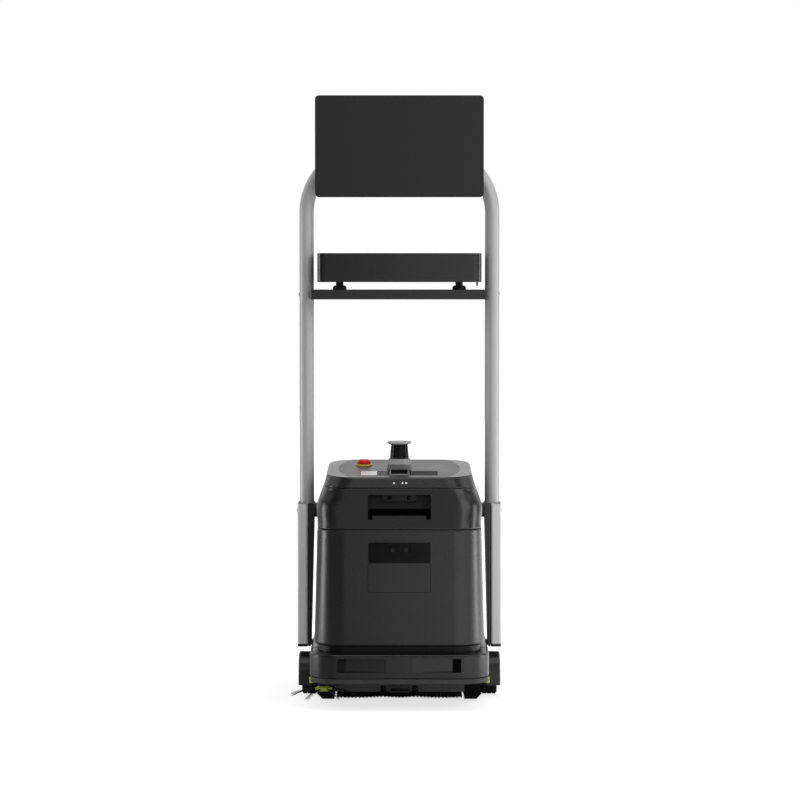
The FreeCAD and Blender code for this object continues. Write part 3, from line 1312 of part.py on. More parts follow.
def control_board():
    """Circuit board on four posts with a finned heat sink."""
    z0 = plate_top + BOARD_POST
    board = box((board_x - BOARD_HALF_X, board_x + BOARD_HALF_X),
                (BOARD_Y - BOARD_HALF_Y, BOARD_Y + BOARD_HALF_Y), (z0, z0 + BOARD))
    pieces = [board]
    for dx in (-1, 1):
        for dy in (-1, 1):
            x = board_x + dx * (BOARD_HALF_X - 2 * BOARD_POST_RADIUS)
            y = BOARD_Y + dy * (BOARD_HALF_Y - 2 * BOARD_POST_RADIUS)
            pieces.append(cylinder(BOARD_POST_RADIUS, (x, y, plate_top), (x, y, z0 + BOARD / 2)))
    ys = (BOARD_Y - HEATSINK_HALF, BOARD_Y + HEATSINK_HALF)
    fin_z = z0 + BOARD + HEATSINK_BASE
    pieces.append(box((board_x - HEATSINK_HALF, board_x + HEATSINK_HALF), ys, (z0 + BOARD, fin_z)))
    pitch = 2 * HEATSINK_HALF / HEATSINK_FINS
    for fin in range(HEATSINK_FINS):
        x = board_x - HEATSINK_HALF + fin * pitch
        pieces.append(box((x, x + pitch / 2), ys, (fin_z, fin_z + HEATSINK_FIN)))
    return fuse(*pieces)


# Legs, posts and hoop

def leg_plan(side, inset):
    x0 = leg_inner + inset
    x1 = leg_inner + LEG_WIDTH - inset
    y0 = FRAME_Y - LEG_DEPTH / 2 + inset
    y1 = FRAME_Y + LEG_DEPTH / 2 - inset
    return rounded_wire(min(side * x0, side * x1), max(side * x0, side * x1), y0, y1,
                        LEG_ROUND - inset, lambda u, v: V(u, v, leg_foot + LEG_CAP))


def leg(side):
    """Flat extruded profile beside the body."""
    outer = Part.Face(leg_plan(side, 0)).extrude(V(0, 0, LEG_LENGTH))
    inner = Part.Face(leg_plan(side, LEG_WALL)).extrude(V(0, 0, LEG_LENGTH))
    return outer.cut(inner)


def leg_caps():
    caps = []
    for side in (-1, 1):
        cap = Part.Face(leg_plan(side, LEG_CAP_INSET)).extrude(V(0, 0, -LEG_CAP))
        caps.append(rounded_at(cap, LEG_ROUND / 3, (0, 0, leg_foot), (0, 0, 1)))
    return group(caps)


def oval_wire(x, y, width, depth, z):
    """Oval tube section: flat sides, round front and rear."""
    r = width / 2
    straight = (depth - width) / 2
    return Part.Wire([
        Part.LineSegment(V(x + r, y - straight, z), V(x + r, y + straight, z)).toShape(),
        Part.Arc(V(x + r, y + straight, z), V(x, y + straight + r, z), V(x - r, y + straight, z)).toShape(),
        Part.LineSegment(V(x - r, y + straight, z), V(x - r, y - straight, z)).toShape(),
        Part.Arc(V(x - r, y - straight, z), V(x, y - straight - r, z), V(x + r, y - straight, z)).toShape()])


def tube_face(side, inset, z):
    return Part.Face(oval_wire(side * tube_x, FRAME_Y, TUBE_WIDTH - 2 * inset, TUBE_DEPTH - 2 * inset, z))


def leg_bracket(side):
    """Wedge between leg and body, with bosses to the shoulder, a pad to the skirt, a spigot."""
    y0 = FRAME_Y - BRACKET_DEPTH / 2
    points = [V(side * leg_inner, y0, leg_foot), V(side * leg_inner, y0, leg_top),
              V(side * (leg_inner - BRACKET_TOP), y0, leg_top),
              V(side * (leg_inner - BRACKET_FOOT), y0, leg_foot)]
    wedge = polygon_prism(points, V(0, BRACKET_DEPTH, 0))
    reach = leg_inner - BRACKET_FOOT / 2
    body = cover_block(0)
    bosses = []
    for y in (FRAME_Y - BOSS_SPACING / 2, FRAME_Y + BOSS_SPACING / 2):
        boss = cylinder(BOSS_RADIUS, (side * (BODY_HALF - LIP_WIDTH), y, boss_z), (side * reach, y, boss_z))
        bosses.append(boss.cut(body))
    pad = box((side * skirt_half, side * reach), (FRAME_Y - PAD_DEPTH / 2, FRAME_Y + PAD_DEPTH / 2),
              (leg_foot, leg_foot + PAD_HEIGHT))
    spigot = tube_face(side, TUBE_WALL + SEAT_GAP, leg_top).extrude(V(0, 0, SPIGOT))
    return fuse(wedge, pad, spigot, *bosses)


def post(side):
    outer = tube_face(side, 0, leg_top).extrude(V(0, 0, POST_LENGTH))
    return outer.cut(tube_face(side, TUBE_WALL, leg_top).extrude(V(0, 0, POST_LENGTH)))


def hoop_solid(inset):
    """Two quarter bends and the bar between them."""
    pieces = []
    for side in (-1, 1):
        face = tube_face(side, inset, post_top)
        centre = V(side * (tube_x - BEND_RADIUS), FRAME_Y, post_top)
        pieces.append(face.revolve(centre, V(0, -side, 0), 90))
    bar_half = tube_x - BEND_RADIUS
    face = tube_face(-1, inset, post_top)
    face.rotate(V(-bar_half, FRAME_Y, post_top), V(0, 1, 0), 90)
    pieces.append(face.extrude(V(2 * bar_half, 0, 0)))
    return fuse(*pieces)


def top_hoop():
    return hoop_solid(0).cut(hoop_solid(TUBE_WALL))


# Shelf, tray and display

def shelf():
    """Folded sheet shelf: a top with turned-down edges, notched round the posts."""
    half = tube_inner + SHELF_EAR
    plan = (half, FRAME_Y - SHELF_FRONT, FRAME_Y + SHELF_REAR, SHELF_ROUND + SHELF_SHEET)
    sheet = plan_prism(plan, shelf_top - SHELF_HEIGHT, shelf_top)
    sheet = rounded_at(sheet, SHELF_ROUND / 2, (0, 0, shelf_top), (0, 0, 1))
    hollow = (tube_inner - SEAT_GAP - SHELF_SHEET, plan[1] + SHELF_SHEET, plan[2] - SHELF_SHEET, SHELF_ROUND)
    sheet = sheet.cut(plan_prism(hollow, shelf_top - SHELF_HEIGHT - SKIN, shelf_top - SHELF_SHEET))
    for side in (-1, 1):
        notch = tube_face(side, -SEAT_GAP, shelf_top - 2 * SHELF_HEIGHT)
        sheet = sheet.cut(notch.extrude(V(0, 0, 3 * SHELF_HEIGHT)))
    return sheet


def tray_feet():
    """Rubber feet with a narrow neck that hold the tray above the shelf."""
    feet = []
    z1 = shelf_top + FOOT_HEIGHT
    for x in (FOOT_INSET - tray_half, tray_half - FOOT_INSET):
        for y in (FRAME_Y - FOOT_FRONT, FRAME_Y + FOOT_REAR):
            feet.append(turned_z([(0, shelf_top), (FOOT_RADIUS, shelf_top), (FOOT_RADIUS, z1 - FOOT_BEVEL),
                                  (FOOT_RADIUS - FOOT_BEVEL, z1), (FOOT_STEM_RADIUS, z1),
                                  (FOOT_STEM_RADIUS, tray_z), (0, tray_z)], x, y))
    return group(feet)


def tray():
    """Open tray with a small peg under its right front corner."""
    plan = (tray_half, FRAME_Y - TRAY_FRONT, FRAME_Y + TRAY_REAR, TRAY_CORNER)
    top = tray_z + TRAY_HEIGHT
    block = plan_prism(plan, tray_z, top)
    block = rounded_at(block, TRAY_RIM_ROUND, (0, 0, tray_z), (0, 0, 1))
    block = block.cut(plan_prism(shrink(plan, TRAY_WALL), tray_z + TRAY_FLOOR, top + SKIN))
    peg_x = tray_half - PEG_INSET
    peg_y = plan[1] + PEG_SETBACK
    peg = cylinder(PEG_RADIUS, (peg_x, peg_y, tray_z - PEG), (peg_x, peg_y, tray_z + TRAY_FLOOR / 2))
    return block.fuse(peg)


def display_back():
    """Y of the back of the display, where the mount plate starts."""
    return FRAME_Y - TUBE_DEPTH / 2 + MOUNT_REACH - MOUNT_PLATE - MOUNT_BLOCK_HEIGHT


def display_span(inset):
    half = DISPLAY_WIDTH / 2 - inset
    rise = DISPLAY_HEIGHT / 2 - inset
    return -half, half, display_z - rise, display_z + rise, DISPLAY_CORNER


def display_housing():
    """Flat edge band and a back that slopes in towards the mount."""
    back = display_back()
    front = back - DISPLAY_BACK
    band = front_prism(*display_span(0), front - DISPLAY_EDGE, front)
    wires = [rounded_wire(*display_span(inset), lambda u, v, y=y: V(u, y, v))
             for inset, y in ((0, front), (DISPLAY_BACK_INSET, back))]
    housing = fuse(band, Part.makeLoft(wires, True, True))
    z0 = display_z + MOUNT_HALF + VENT_RISE
    for vent in range(VENTS):
        x = (vent - (VENTS - 1) / 2) * VENT_PITCH
        housing = housing.cut(front_prism(x - VENT_WIDTH / 2, x + VENT_WIDTH / 2, z0, z0 + VENT_HEIGHT,
                                          VENT_WIDTH / 2 - PLAY, back - VENT_DEPTH, back + SKIN))
    return housing


def display_glass():
    front = display_back() - DISPLAY_BACK - DISPLAY_EDGE
    pane = front_prism(*display_span(0), front - DISPLAY_GLASS, front)
    return rounded_at(pane, DISPLAY_GLASS / 3, (0, front - DISPLAY_GLASS, 0), (0, 1, 0))


def display_mount():
    """Square plate on the display's back and a saddle block on the hoop's bar."""
    back = display_back()
    plate = front_prism(-MOUNT_HALF, MOUNT_HALF, display_z - MOUNT_HALF, display_z + MOUNT_HALF,
                        MOUNT_PLATE, back, back + MOUNT_PLATE)
    block = box((-MOUNT_BLOCK_HALF, MOUNT_BLOCK_HALF),
                (back + MOUNT_PLATE / 2, back + MOUNT_PLATE + MOUNT_BLOCK_HEIGHT),
                (bar_z - MOUNT_BLOCK_HALF, bar_z + MOUNT_BLOCK_HALF))
    mount = fuse(plate, block).cut(hoop_solid(0))
    offset = MOUNT_HOLE_SPACING / 2
    for x in (-offset, offset):
        for z in (display_z - offset, display_z + offset):
            hole = cylinder(MOUNT_HOLE_RADIUS, (x, back - SKIN, z), (x, back + MOUNT_PLATE + SKIN, z))
            mount = mount.cut(hole)
    return mount


def make_parts():
    """Every node of the robot, by name."""
    parts = {
        "chassis_pan": chassis_pan(),
        "base_skirt": base_skirt(),
        "charge_contacts": charge_contacts(),
        "front_bumper": front_bumper(),
        "bumper_strip": bumper_strip(),
        "bumper_sensors": bumper_sensors(),
        "lower_shell": lower_shell(),
        "access_panel": access_panel(),
        "front_window": front_window(),
        "front_camera": front_camera(),
        "dust_bin": dust_bin(),
        "upper_cover": upper_cover(),
        "depth_camera": depth_camera(),
        "top_lid": top_lid(),
        "deck_panel": deck_panel(),
        "deck_windows": deck_windows(),
        "status_screen": status_screen(),
        "status_lights": status_lights(),
        "scanner_base": scanner_base(),
        "scanner_window": scanner_window(),
        "scanner_cap": scanner_cap(),
        "scanner_rotor": scanner_rotor(),
        "stop_collar": stop_collar(),
        "stop_button": stop_button(),
        "brush_tunnel": brush_tunnel(),
        "brush_motor": brush_motor(),
        "brush_lift": brush_lift(),
        "roller_core": roller_core(),
        "roller_brush": roller_brush(),
        "side_pod": side_pod(),
        "side_hub": side_hub(),
        "side_tufts": side_tufts(),
        "battery_pack": battery_pack(),
        "suction_fan": suction_fan(),
        "control_board": control_board(),
        "drive_motors": group([drive_motor(-1), drive_motor(1)]),
        "leg_caps": leg_caps(),
        "top_hoop": top_hoop(),
        "shelf": shelf(),
        "tray_feet": tray_feet(),
        "tray": tray(),
        "display_housing": display_housing(),
        "display_glass": display_glass(),
        "display_mount": display_mount(),
    }
    for name, side in (("left", -1), ("right", 1)):
        parts[name + "_wheel_arch"] = wheel_arch(side)
        parts[name + "_tyre"] = tyre(side)
        parts[name + "_wheel_hub"] = wheel_hub(side)
        parts[name + "_caster_fork"] = caster_fork(side)
        parts[name + "_caster_wheel"] = caster_wheel(side)
        parts[name + "_leg"] = leg(side)
        parts[name + "_leg_bracket"] = leg_bracket(side)
        parts[name + "_post"] = post(side)
    return parts


def main():
    os.makedirs("parts", exist_ok=True)
    for name, shape in make_parts().items():
        solids = shape.Solids
        whole = solids[0] if len(solids) == 1 else Part.makeCompound(solids)
        whole.exportStep("parts/" + name + ".step")
        volume = sum(solid.Volume for solid in solids) / 1000
        print(f"{name}: {len(solids)} solid(s), {volume:.1f} cm3, valid {whole.isValid()}")


if __name__ == "__main__":
    main()
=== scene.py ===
# %% [markdown]
# # A floor-sweeping robot with a tray and a display
# The rigid pieces come from a CAD model and already stand at their real size and place.
# This lesson gives them their finishes, models what CAD leaves plain (bristles, flaps, lenses, gasket,
# screws and nuts), and sets up a plain studio with the camera where the photographer stood.

# %% Load the model
import json
import math
import random

import bmesh
import bpy
from mathutils import Matrix, Vector
from mathutils.geometry import convex_hull_2d


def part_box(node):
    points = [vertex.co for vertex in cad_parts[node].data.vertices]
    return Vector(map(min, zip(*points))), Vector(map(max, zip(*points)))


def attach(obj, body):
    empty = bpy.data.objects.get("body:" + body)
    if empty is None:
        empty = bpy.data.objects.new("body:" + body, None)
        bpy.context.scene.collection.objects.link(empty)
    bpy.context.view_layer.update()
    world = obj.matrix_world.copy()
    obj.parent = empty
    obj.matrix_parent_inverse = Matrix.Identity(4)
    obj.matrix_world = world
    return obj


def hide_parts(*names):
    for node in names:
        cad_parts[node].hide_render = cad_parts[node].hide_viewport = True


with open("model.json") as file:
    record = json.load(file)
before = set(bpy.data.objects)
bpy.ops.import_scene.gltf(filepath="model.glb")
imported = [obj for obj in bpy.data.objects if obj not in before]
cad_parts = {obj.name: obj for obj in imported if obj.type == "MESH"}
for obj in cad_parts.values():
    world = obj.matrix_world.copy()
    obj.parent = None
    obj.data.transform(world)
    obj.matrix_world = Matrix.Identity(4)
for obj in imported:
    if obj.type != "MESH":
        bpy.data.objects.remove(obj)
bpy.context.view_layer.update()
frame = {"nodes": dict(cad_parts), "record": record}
nodes = frame["nodes"]
MM = 0.001
scene = bpy.context.scene
scene.view_settings.view_transform = "Standard"

# %% [markdown]
# ## Camera
# The robot was photographed from far away with a long lens, level with its tray. The horizon lies
# above the middle of the picture, so the camera looks down by a few degrees. A lens shift would
# give the same framing, but it would stay on when other views move the camera.

# %% Camera
PICTURE = 800           # pixels a side
FOCAL_PIXELS = 2658     # the lens, measured in picture pixels
SENSOR = 36.0           # millimetres
EYE = Vector((0.0016, -7.133, 1.111))
HORIZON_ROW = 282.4     # pixels from the top, the row that lies as high as the camera

lens = bpy.data.cameras.new("studio_camera")
lens.sensor_width = SENSOR
lens.lens = FOCAL_PIXELS / PICTURE * SENSOR
camera = bpy.data.objects.new("studio_camera", lens)
camera.location = EYE
dip = math.atan((PICTURE / 2 - HORIZON_ROW) / FOCAL_PIXELS)
camera.rotation_euler = (math.radians(90) - dip, 0, 0)
scene.collection.objects.link(camera)
scene.camera = camera
print(f"lens {lens.lens:.0f} mm, dip {math.degrees(dip):.2f} degrees")

# %% [markdown]
# ## Shader arithmetic
# A finish is a tree of nodes. Writing `dust * 0.3 + 0.4` is easier to read than wiring Math nodes,
# so a small class wraps an output socket and lets Python's operators add the nodes.


# %% Fields
class Field:
    """One number that changes over a surface."""

    def __init__(self, finish, socket):
        self.finish = finish
        self.socket = socket

    def math(self, operation, first, second=0.0):
        made = self.finish.node("ShaderNodeMath", {"operation": operation}, {0: first, 1: second})
        return Field(self.finish, made.outputs[0])

    def __add__(self, other):
        return self.math("ADD", self, other)

    def __sub__(self, other):
        return self.math("SUBTRACT", self, other)

    def __rsub__(self, other):
        return self.math("SUBTRACT", other, self)

    def __mul__(self, other):
        return self.math("MULTIPLY", self, other)

    __radd__ = __add__
    __rmul__ = __mul__

    def at_least(self, other):
        return self.math("MAXIMUM", self, other)

    def ramp(self, low, high):
        """0 below low, 1 above high, smooth between."""
        settings = {"interpolation_type": "SMOOTHSTEP"}
        made = self.finish.node("ShaderNodeMapRange", settings, {0: self, 1: low, 2: high})
        return Field(self.finish, made.outputs[0])


print("fields ready")

# %% [markdown]
# ### Trees of nodes
# Every node takes the same steps: it is made, its settings are set, and its sockets get values or links.
# They could be written out each time, but one method keeps them in one place. The short methods after it
# only name the nodes that the finishes use most.


# %% Trees of nodes
class Finish:
    """A material or a world whose nodes are added one by one."""

    def __init__(self, owner, shader):
        owner.use_nodes = True
        self.owner = owner
        self.tree = owner.node_tree
        self.tree.nodes.clear()
        output = "ShaderNodeOutputWorld" if shader == "ShaderNodeBackground" else "ShaderNodeOutputMaterial"
        self.output = self.node(output)
        self.shader = self.node(shader)
        self.tree.links.new(self.shader.outputs[0], self.output.inputs[0])

    def node(self, kind, settings=None, sockets=None):
        """Any node: its settings first, then the values or links of its sockets."""
        made = self.tree.nodes.new(kind)
        for key, value in (settings or {}).items():
            setattr(made, key, value)
        for key, value in (sockets or {}).items():
            self.feed(made.inputs[key], value)
        return made

    def feed(self, socket, value):
        if isinstance(value, Field):
            self.tree.links.new(value.socket, socket)
        elif isinstance(value, bpy.types.NodeSocket):
            self.tree.links.new(value, socket)
        else:
            socket.default_value = value

    def set(self, **values):
        """Feed the shader's sockets: base_color is the socket Base Color."""
        for key, value in values.items():
            self.feed(self.shader.inputs[key.replace("_", " ").title().replace("Ior", "IOR")], value)

    def place(self, stretch=(1, 1, 1)):
        """The piece's own coordinates, in metres, squeezed along each axis."""
        source = self.node("ShaderNodeTexCoord").outputs["Object"]
        return self.node("ShaderNodeMapping", {}, {"Vector": source, "Scale": stretch}).outputs[0]

    def noise(self, scale, detail=2.0, stretch=(1, 1, 1)):
        sockets = {"Vector": self.place(stretch), "Scale": scale, "Detail": detail}
        return Field(self, self.node("ShaderNodeTexNoise", {}, sockets).outputs["Fac"])

    def axis(self, letter):
        """One coordinate of the piece, in metres."""
        split = self.node("ShaderNodeSeparateXYZ", {}, {0: self.place()})
        return Field(self, split.outputs["XYZ".index(letter)])

    def mix(self, first, second, factor):
        """Blend two colours."""
        made = self.node("ShaderNodeMix", {"data_type": "RGBA"}, {0: factor, 6: first, 7: second})
        return made.outputs[2]

    def patch(self, factor, **values):
        """A second shader with its own constants, shown where factor is 1."""
        first = self.shader
        self.shader = self.node(first.bl_idname)
        self.set(**values)
        sockets = {0: factor, 1: first.outputs[0], 2: self.shader.outputs[0]}
        both = self.node("ShaderNodeMixShader", {}, sockets)
        self.tree.links.new(both.outputs[0], self.output.inputs[0])
        self.shader = first

    def bump(self, height, depth):
        """A relief of that depth in metres, for the shader's normal."""
        made = self.node("ShaderNodeBump", {}, {"Height": height, "Distance": depth, "Strength": 1.0})
        self.set(normal=made.outputs[0])


print("trees ready")

# %% [markdown]
# ## Studio
# The picture has a white background and soft light, and its dark plastic shows where the lamps stood:
# a bright line down each rounded corner means a tall soft box straight out to each side, the dark band
# beside the left line means that nothing stood at the front left, and the faces that look at the camera
# mirror a broad soft box which starts at the camera and goes on to the right. A long box high in front,
# one high on the right, two for the lid's corners and one overhead light what faces up. The two at the
# sides light only what is glossy, since their full light would bleach the pale legs. What lies behind
# the robot is white to the camera and to every reflection, while the rest of the room is dim, which
# keeps the dark faces dark.

# %% Studio
ROOM_LIGHT = 0.75       # what the room itself gives
DIM_ROOM = 0.05         # what a reflection finds in front of the robot
BACKDROP = (0.25, 0.7)  # how squarely a reflection looks backwards: the backdrop's edge, and all of it
SOFT_BOXES = [
    # name, place, aim, width, height, watts, only for what is glossy
    ("left_box", (-2.6, 0.05, 0.75), (0, 0.05, 0.75), 0.7, 1.5, 22, True),
    ("right_box", (2.6, 0.05, 0.75), (0, 0.05, 0.75), 0.7, 1.5, 18, True),
    ("front_box", (2.7, -6.2, 1.6), (0, 0, 0.9), 5.6, 3.2, 58, False),
    ("high_box", (0, -4.2, 3.2), (0, 0, 0.5), 8.0, 1.6, 25, False),
    ("right_high_box", (2.5, -1.9, 2.4), (0.1, -0.2, 0.5), 2.0, 1.6, 28, False),
    ("left_lid_box", (-2.4, 0.4, 2.9), (0, -0.2, 0.6), 1.6, 1.2, 6, False),
    ("right_lid_box", (2.4, 0.4, 2.9), (0, -0.2, 0.6), 1.6, 1.2, 9, False),
    ("top_box", (0.3, -0.6, 4.2), (0, 0, 0.6), 2.4, 2.4, 40, False),
]

world = bpy.data.worlds.new("studio")
scene.world = world
air = Finish(world, "ShaderNodeBackground")
rays = air.node("ShaderNodeLightPath").outputs
shown = Field(air, rays["Is Camera Ray"])
mirrored = Field(air, rays["Is Glossy Ray"]) + Field(air, rays["Is Transmission Ray"])
direction = air.node("ShaderNodeTexCoord").outputs["Generated"]
towards = Field(air, air.node("ShaderNodeSeparateXYZ", {}, {0: direction}).outputs["Y"])
backdrop = towards.ramp(*BACKDROP) * (1 - DIM_ROOM) + DIM_ROOM
seen = shown + mirrored * backdrop
air.set(color=(1, 1, 1, 1), strength=seen + (1 - shown - mirrored).at_least(0.0) * ROOM_LIGHT)


def soft_box(name, place, aim, width, height, watts, gloss_only):
    lamp = bpy.data.lights.new(name, "AREA")
    lamp.shape = "RECTANGLE"
    lamp.size = width
    lamp.size_y = height
    lamp.energy = watts
    box = bpy.data.objects.new(name, lamp)
    box.location = place
    box.rotation_euler = (Vector(aim) - Vector(place)).to_track_quat("-Z", "Y").to_euler()
    box.visible_camera = False
    box.visible_diffuse = not gloss_only
    scene.collection.objects.link(box)


for entry in SOFT_BOXES:
    soft_box(*entry)
print("studio with", len(SOFT_BOXES), "soft boxes")

# %% [markdown]
# ### Paper
# The robot stands on a broad sheet of white paper. A white floor under these lamps would come out grey,
# and stronger lamps would bleach the robot, so the paper glows by itself. The camera sees it white,
# a little less near the robot, where the lamps make up the rest and the robot's soft shadow stays. For
# glossy faces the glow paints light and shade: a painted shadow under the robot, painted light brighter
# on the right and far away, and painted pools of light, the brightest, under the two boxes at the sides.

# %% Paper
FLOOR_HALF = 14.0
FLOOR_TONE = 0.36
NEAR_WHITE = 0.72           # what the camera sees of the glow near the robot
SHADOW_REACH = (0.3, 1.6)   # metres from the robot's middle: all of the shadow, and none
NEAR_GLOW = 0.58            # the glow in reflections, beside the robot and far away
FAR_GLOW = 1.0
UNDER = (0.26, 0.45)        # where the robot's own dark ends
FAR = (0.5, 3.0)            # where the far glow starts and is full
KEY_SIDE = (-0.35, 0.5)     # from the dim left to the bright right
KEY_GLOW = 1.5
DIM_GLOW = 0.02
SIDE_GLOW = 3.0             # the pools of light
POOL_ACROSS = (0.8, 1.7)    # squares of metres, to both sides
POOL_ALONG = (0.05, 0.6)    # squares of metres, to the front and the back


def grey(level):
    return (level, level, level, 1.0)


floor_mesh = bmesh.new()
bmesh.ops.create_grid(floor_mesh, x_segments=1, y_segments=1, size=FLOOR_HALF)
floor_data = bpy.data.meshes.new("studio_floor")
floor_mesh.to_mesh(floor_data)
floor_mesh.free()
floor = bpy.data.objects.new("studio_floor", floor_data)
scene.collection.objects.link(floor)
paper = Finish(bpy.data.materials.new("studio_paper"), "ShaderNodeBsdfDiffuse")
paper.feed(paper.shader.inputs["Color"], grey(FLOOR_TONE))
paper_rays = paper.node("ShaderNodeLightPath").outputs
across = paper.axis("X")
along = paper.axis("Y")
away = across.math("SQRT", across * across + along * along)
# Painted light in what reflections see of the paper: a painted shadow under the robot, painted light brighter
# to the right and far away, and painted pools of light under the side boxes.
painted_shadow_glow = away.ramp(*UNDER) * NEAR_GLOW + away.ramp(*FAR) * (FAR_GLOW - NEAR_GLOW)
key_side = across.ramp(*KEY_SIDE) * KEY_GLOW + DIM_GLOW
beside = (across * across).ramp(*POOL_ACROSS) * (1 - (along * along).ramp(*POOL_ALONG)) * SIDE_GLOW
mirrored_glow = Field(paper, paper_rays["Is Glossy Ray"]) * (key_side * painted_shadow_glow + beside)
seen_rays = Field(paper, paper_rays["Is Camera Ray"]) + Field(paper, paper_rays["Is Transmission Ray"])
strength = seen_rays * (away.ramp(*SHADOW_REACH) * (1 - NEAR_WHITE) + NEAR_WHITE) + mirrored_glow
glow = paper.node("ShaderNodeEmission", {}, {"Color": grey(1.0), "Strength": strength})
lit = paper.node("ShaderNodeAddShader", {}, {0: paper.shader.outputs[0], 1: glow.outputs[0]})
paper.tree.links.new(lit.outputs[0], paper.output.inputs[0])
floor_data.materials.append(paper.owner)
print("paper", 2 * FLOOR_HALF, "m wide")

# %% [markdown]
# ## Finishes
# The shell is moulded plastic with a fine spark-eroded grain, which scatters light into a satin
# sheen. Three scales make it: the grain itself as bump, a broad mottle in the roughness where hands
# and cloths have polished it, and a slight drift of the colour. The other finishes are made alike: paint
# has a low orange peel and a fleck, rubber a pale bloom, gloss a few wipe marks, and metal fine lines along
# its length. Pictures could hold all that, but noise in the piece's own coordinates needs no unwrapping and
# shows no seams.

# %% Kinds of finish
DRIFT = 0.12            # how far the colour drifts either way
MOTTLE = 0.16           # spread of the roughness where hands have polished it
PEEL = 0.12             # spread of the roughness over orange peel
FLECK = (0.8, 1.25)     # the darkest and the palest fleck in paint
FLECK_RELIEF = 0.3      # its height as a share of the orange peel's
BLOOM = 1.9             # how much paler rubber would be under a full bloom
BLOOM_SHARE = 0.5       # how full it gets
BLOOM_ROUGH = 0.1       # extra roughness under it
RUBBER_SHEEN = 0.35
RUBBER_GRAIN = 0.00006  # metres
SMEAR = 0.07            # extra roughness in a wipe mark
CLOUD = 0.08            # spread of the roughness over metal, broad and along its lines
LINES = 0.10
LINE_SQUEEZE = 0.008    # draws a noise out into lines


def material(name):
    return Finish(bpy.data.materials.new(name), "ShaderNodeBsdfPrincipled")


def scaled(colour, factor):
    """A lighter or a darker copy of a colour."""
    return tuple(channel * factor for channel in colour[:3]) + (1.0,)


def moulded(name, colour, rough, grain=2600, depth=0.00004, specular=0.5):
    """Plastic from an eroded mould: grain, mottle and drift."""
    skin = material(name)
    mottle = skin.noise(scale=7, detail=4)
    drift = skin.noise(scale=2.5, detail=2)
    skin.set(base_color=skin.mix(scaled(colour, 1 - DRIFT), scaled(colour, 1 + DRIFT), drift))
    skin.set(roughness=mottle * MOTTLE + (rough - MOTTLE / 2), specular_ior_level=specular)
    skin.bump(skin.noise(scale=grain, detail=3), depth)
    return skin


def powder_coat(name, colour, rough, depth=0.00008, specular=0.5):
    """Baked paint: a low orange-peel relief with a fine fleck."""
    coat = material(name)
    peel = coat.noise(scale=420, detail=2)
    fleck = coat.noise(scale=3000, detail=1)
    dark, pale = (scaled(colour, share) for share in FLECK)
    coat.set(base_color=coat.mix(dark, pale, fleck.ramp(low=0.4, high=0.65)))
    coat.set(roughness=peel * PEEL + (rough - PEEL / 2), specular_ior_level=specular)
    coat.bump(peel + fleck * FLECK_RELIEF, depth)
    return coat


def rubbery(name, colour, rough=0.72):
    """Rubber: dull, with a bloom that pales it in patches."""
    skin = material(name)
    bloom = skin.noise(scale=26, detail=5).ramp(low=0.45, high=0.75)
    skin.set(base_color=skin.mix(colour, scaled(colour, BLOOM), bloom * BLOOM_SHARE))
    skin.set(roughness=bloom * BLOOM_ROUGH + rough, specular_ior_level=RUBBER_SHEEN)
    skin.bump(skin.noise(scale=1500, detail=3), RUBBER_GRAIN)
    return skin


def polished(name, colour, rough=0.06, alpha=1.0, specular=0.5):
    """Gloss plastic or glass: faint wipe marks show only in the reflections."""
    skin = material(name)
    smear = skin.noise(scale=14, detail=4, stretch=(1, 1, 3)).ramp(low=0.45, high=0.8)
    skin.set(base_color=colour, roughness=smear * SMEAR + rough, alpha=alpha, specular_ior_level=specular)
    return skin


def grained_metal(name, colour, rough, along, contrast=0.1, metallic=1.0):
    """Satin anodised metal: fine lines along the extrusion."""
    skin = material(name)
    squeeze = [1.0, 1.0, 1.0]
    squeeze["XYZ".index(along)] = LINE_SQUEEZE
    lines = skin.noise(scale=1400, detail=3, stretch=squeeze)
    cloud = skin.noise(scale=5, detail=3)
    skin.set(base_color=skin.mix(scaled(colour, 1 - contrast), scaled(colour, 1 + contrast), lines))
    skin.set(roughness=cloud * CLOUD + lines * LINES + (rough - (CLOUD + LINES) / 2), metallic=metallic)
    return skin


print("kinds of finish ready")

# %% [markdown]
# ### One finish a slot
# Each material slot of the model has one finish, and both have the same name. Colours are linear, so a
# plastic that looks dark grey is written as little more than black. After the colour comes the roughness
# and, for metal, the axis along which its lines run. Depths of grain are in metres.

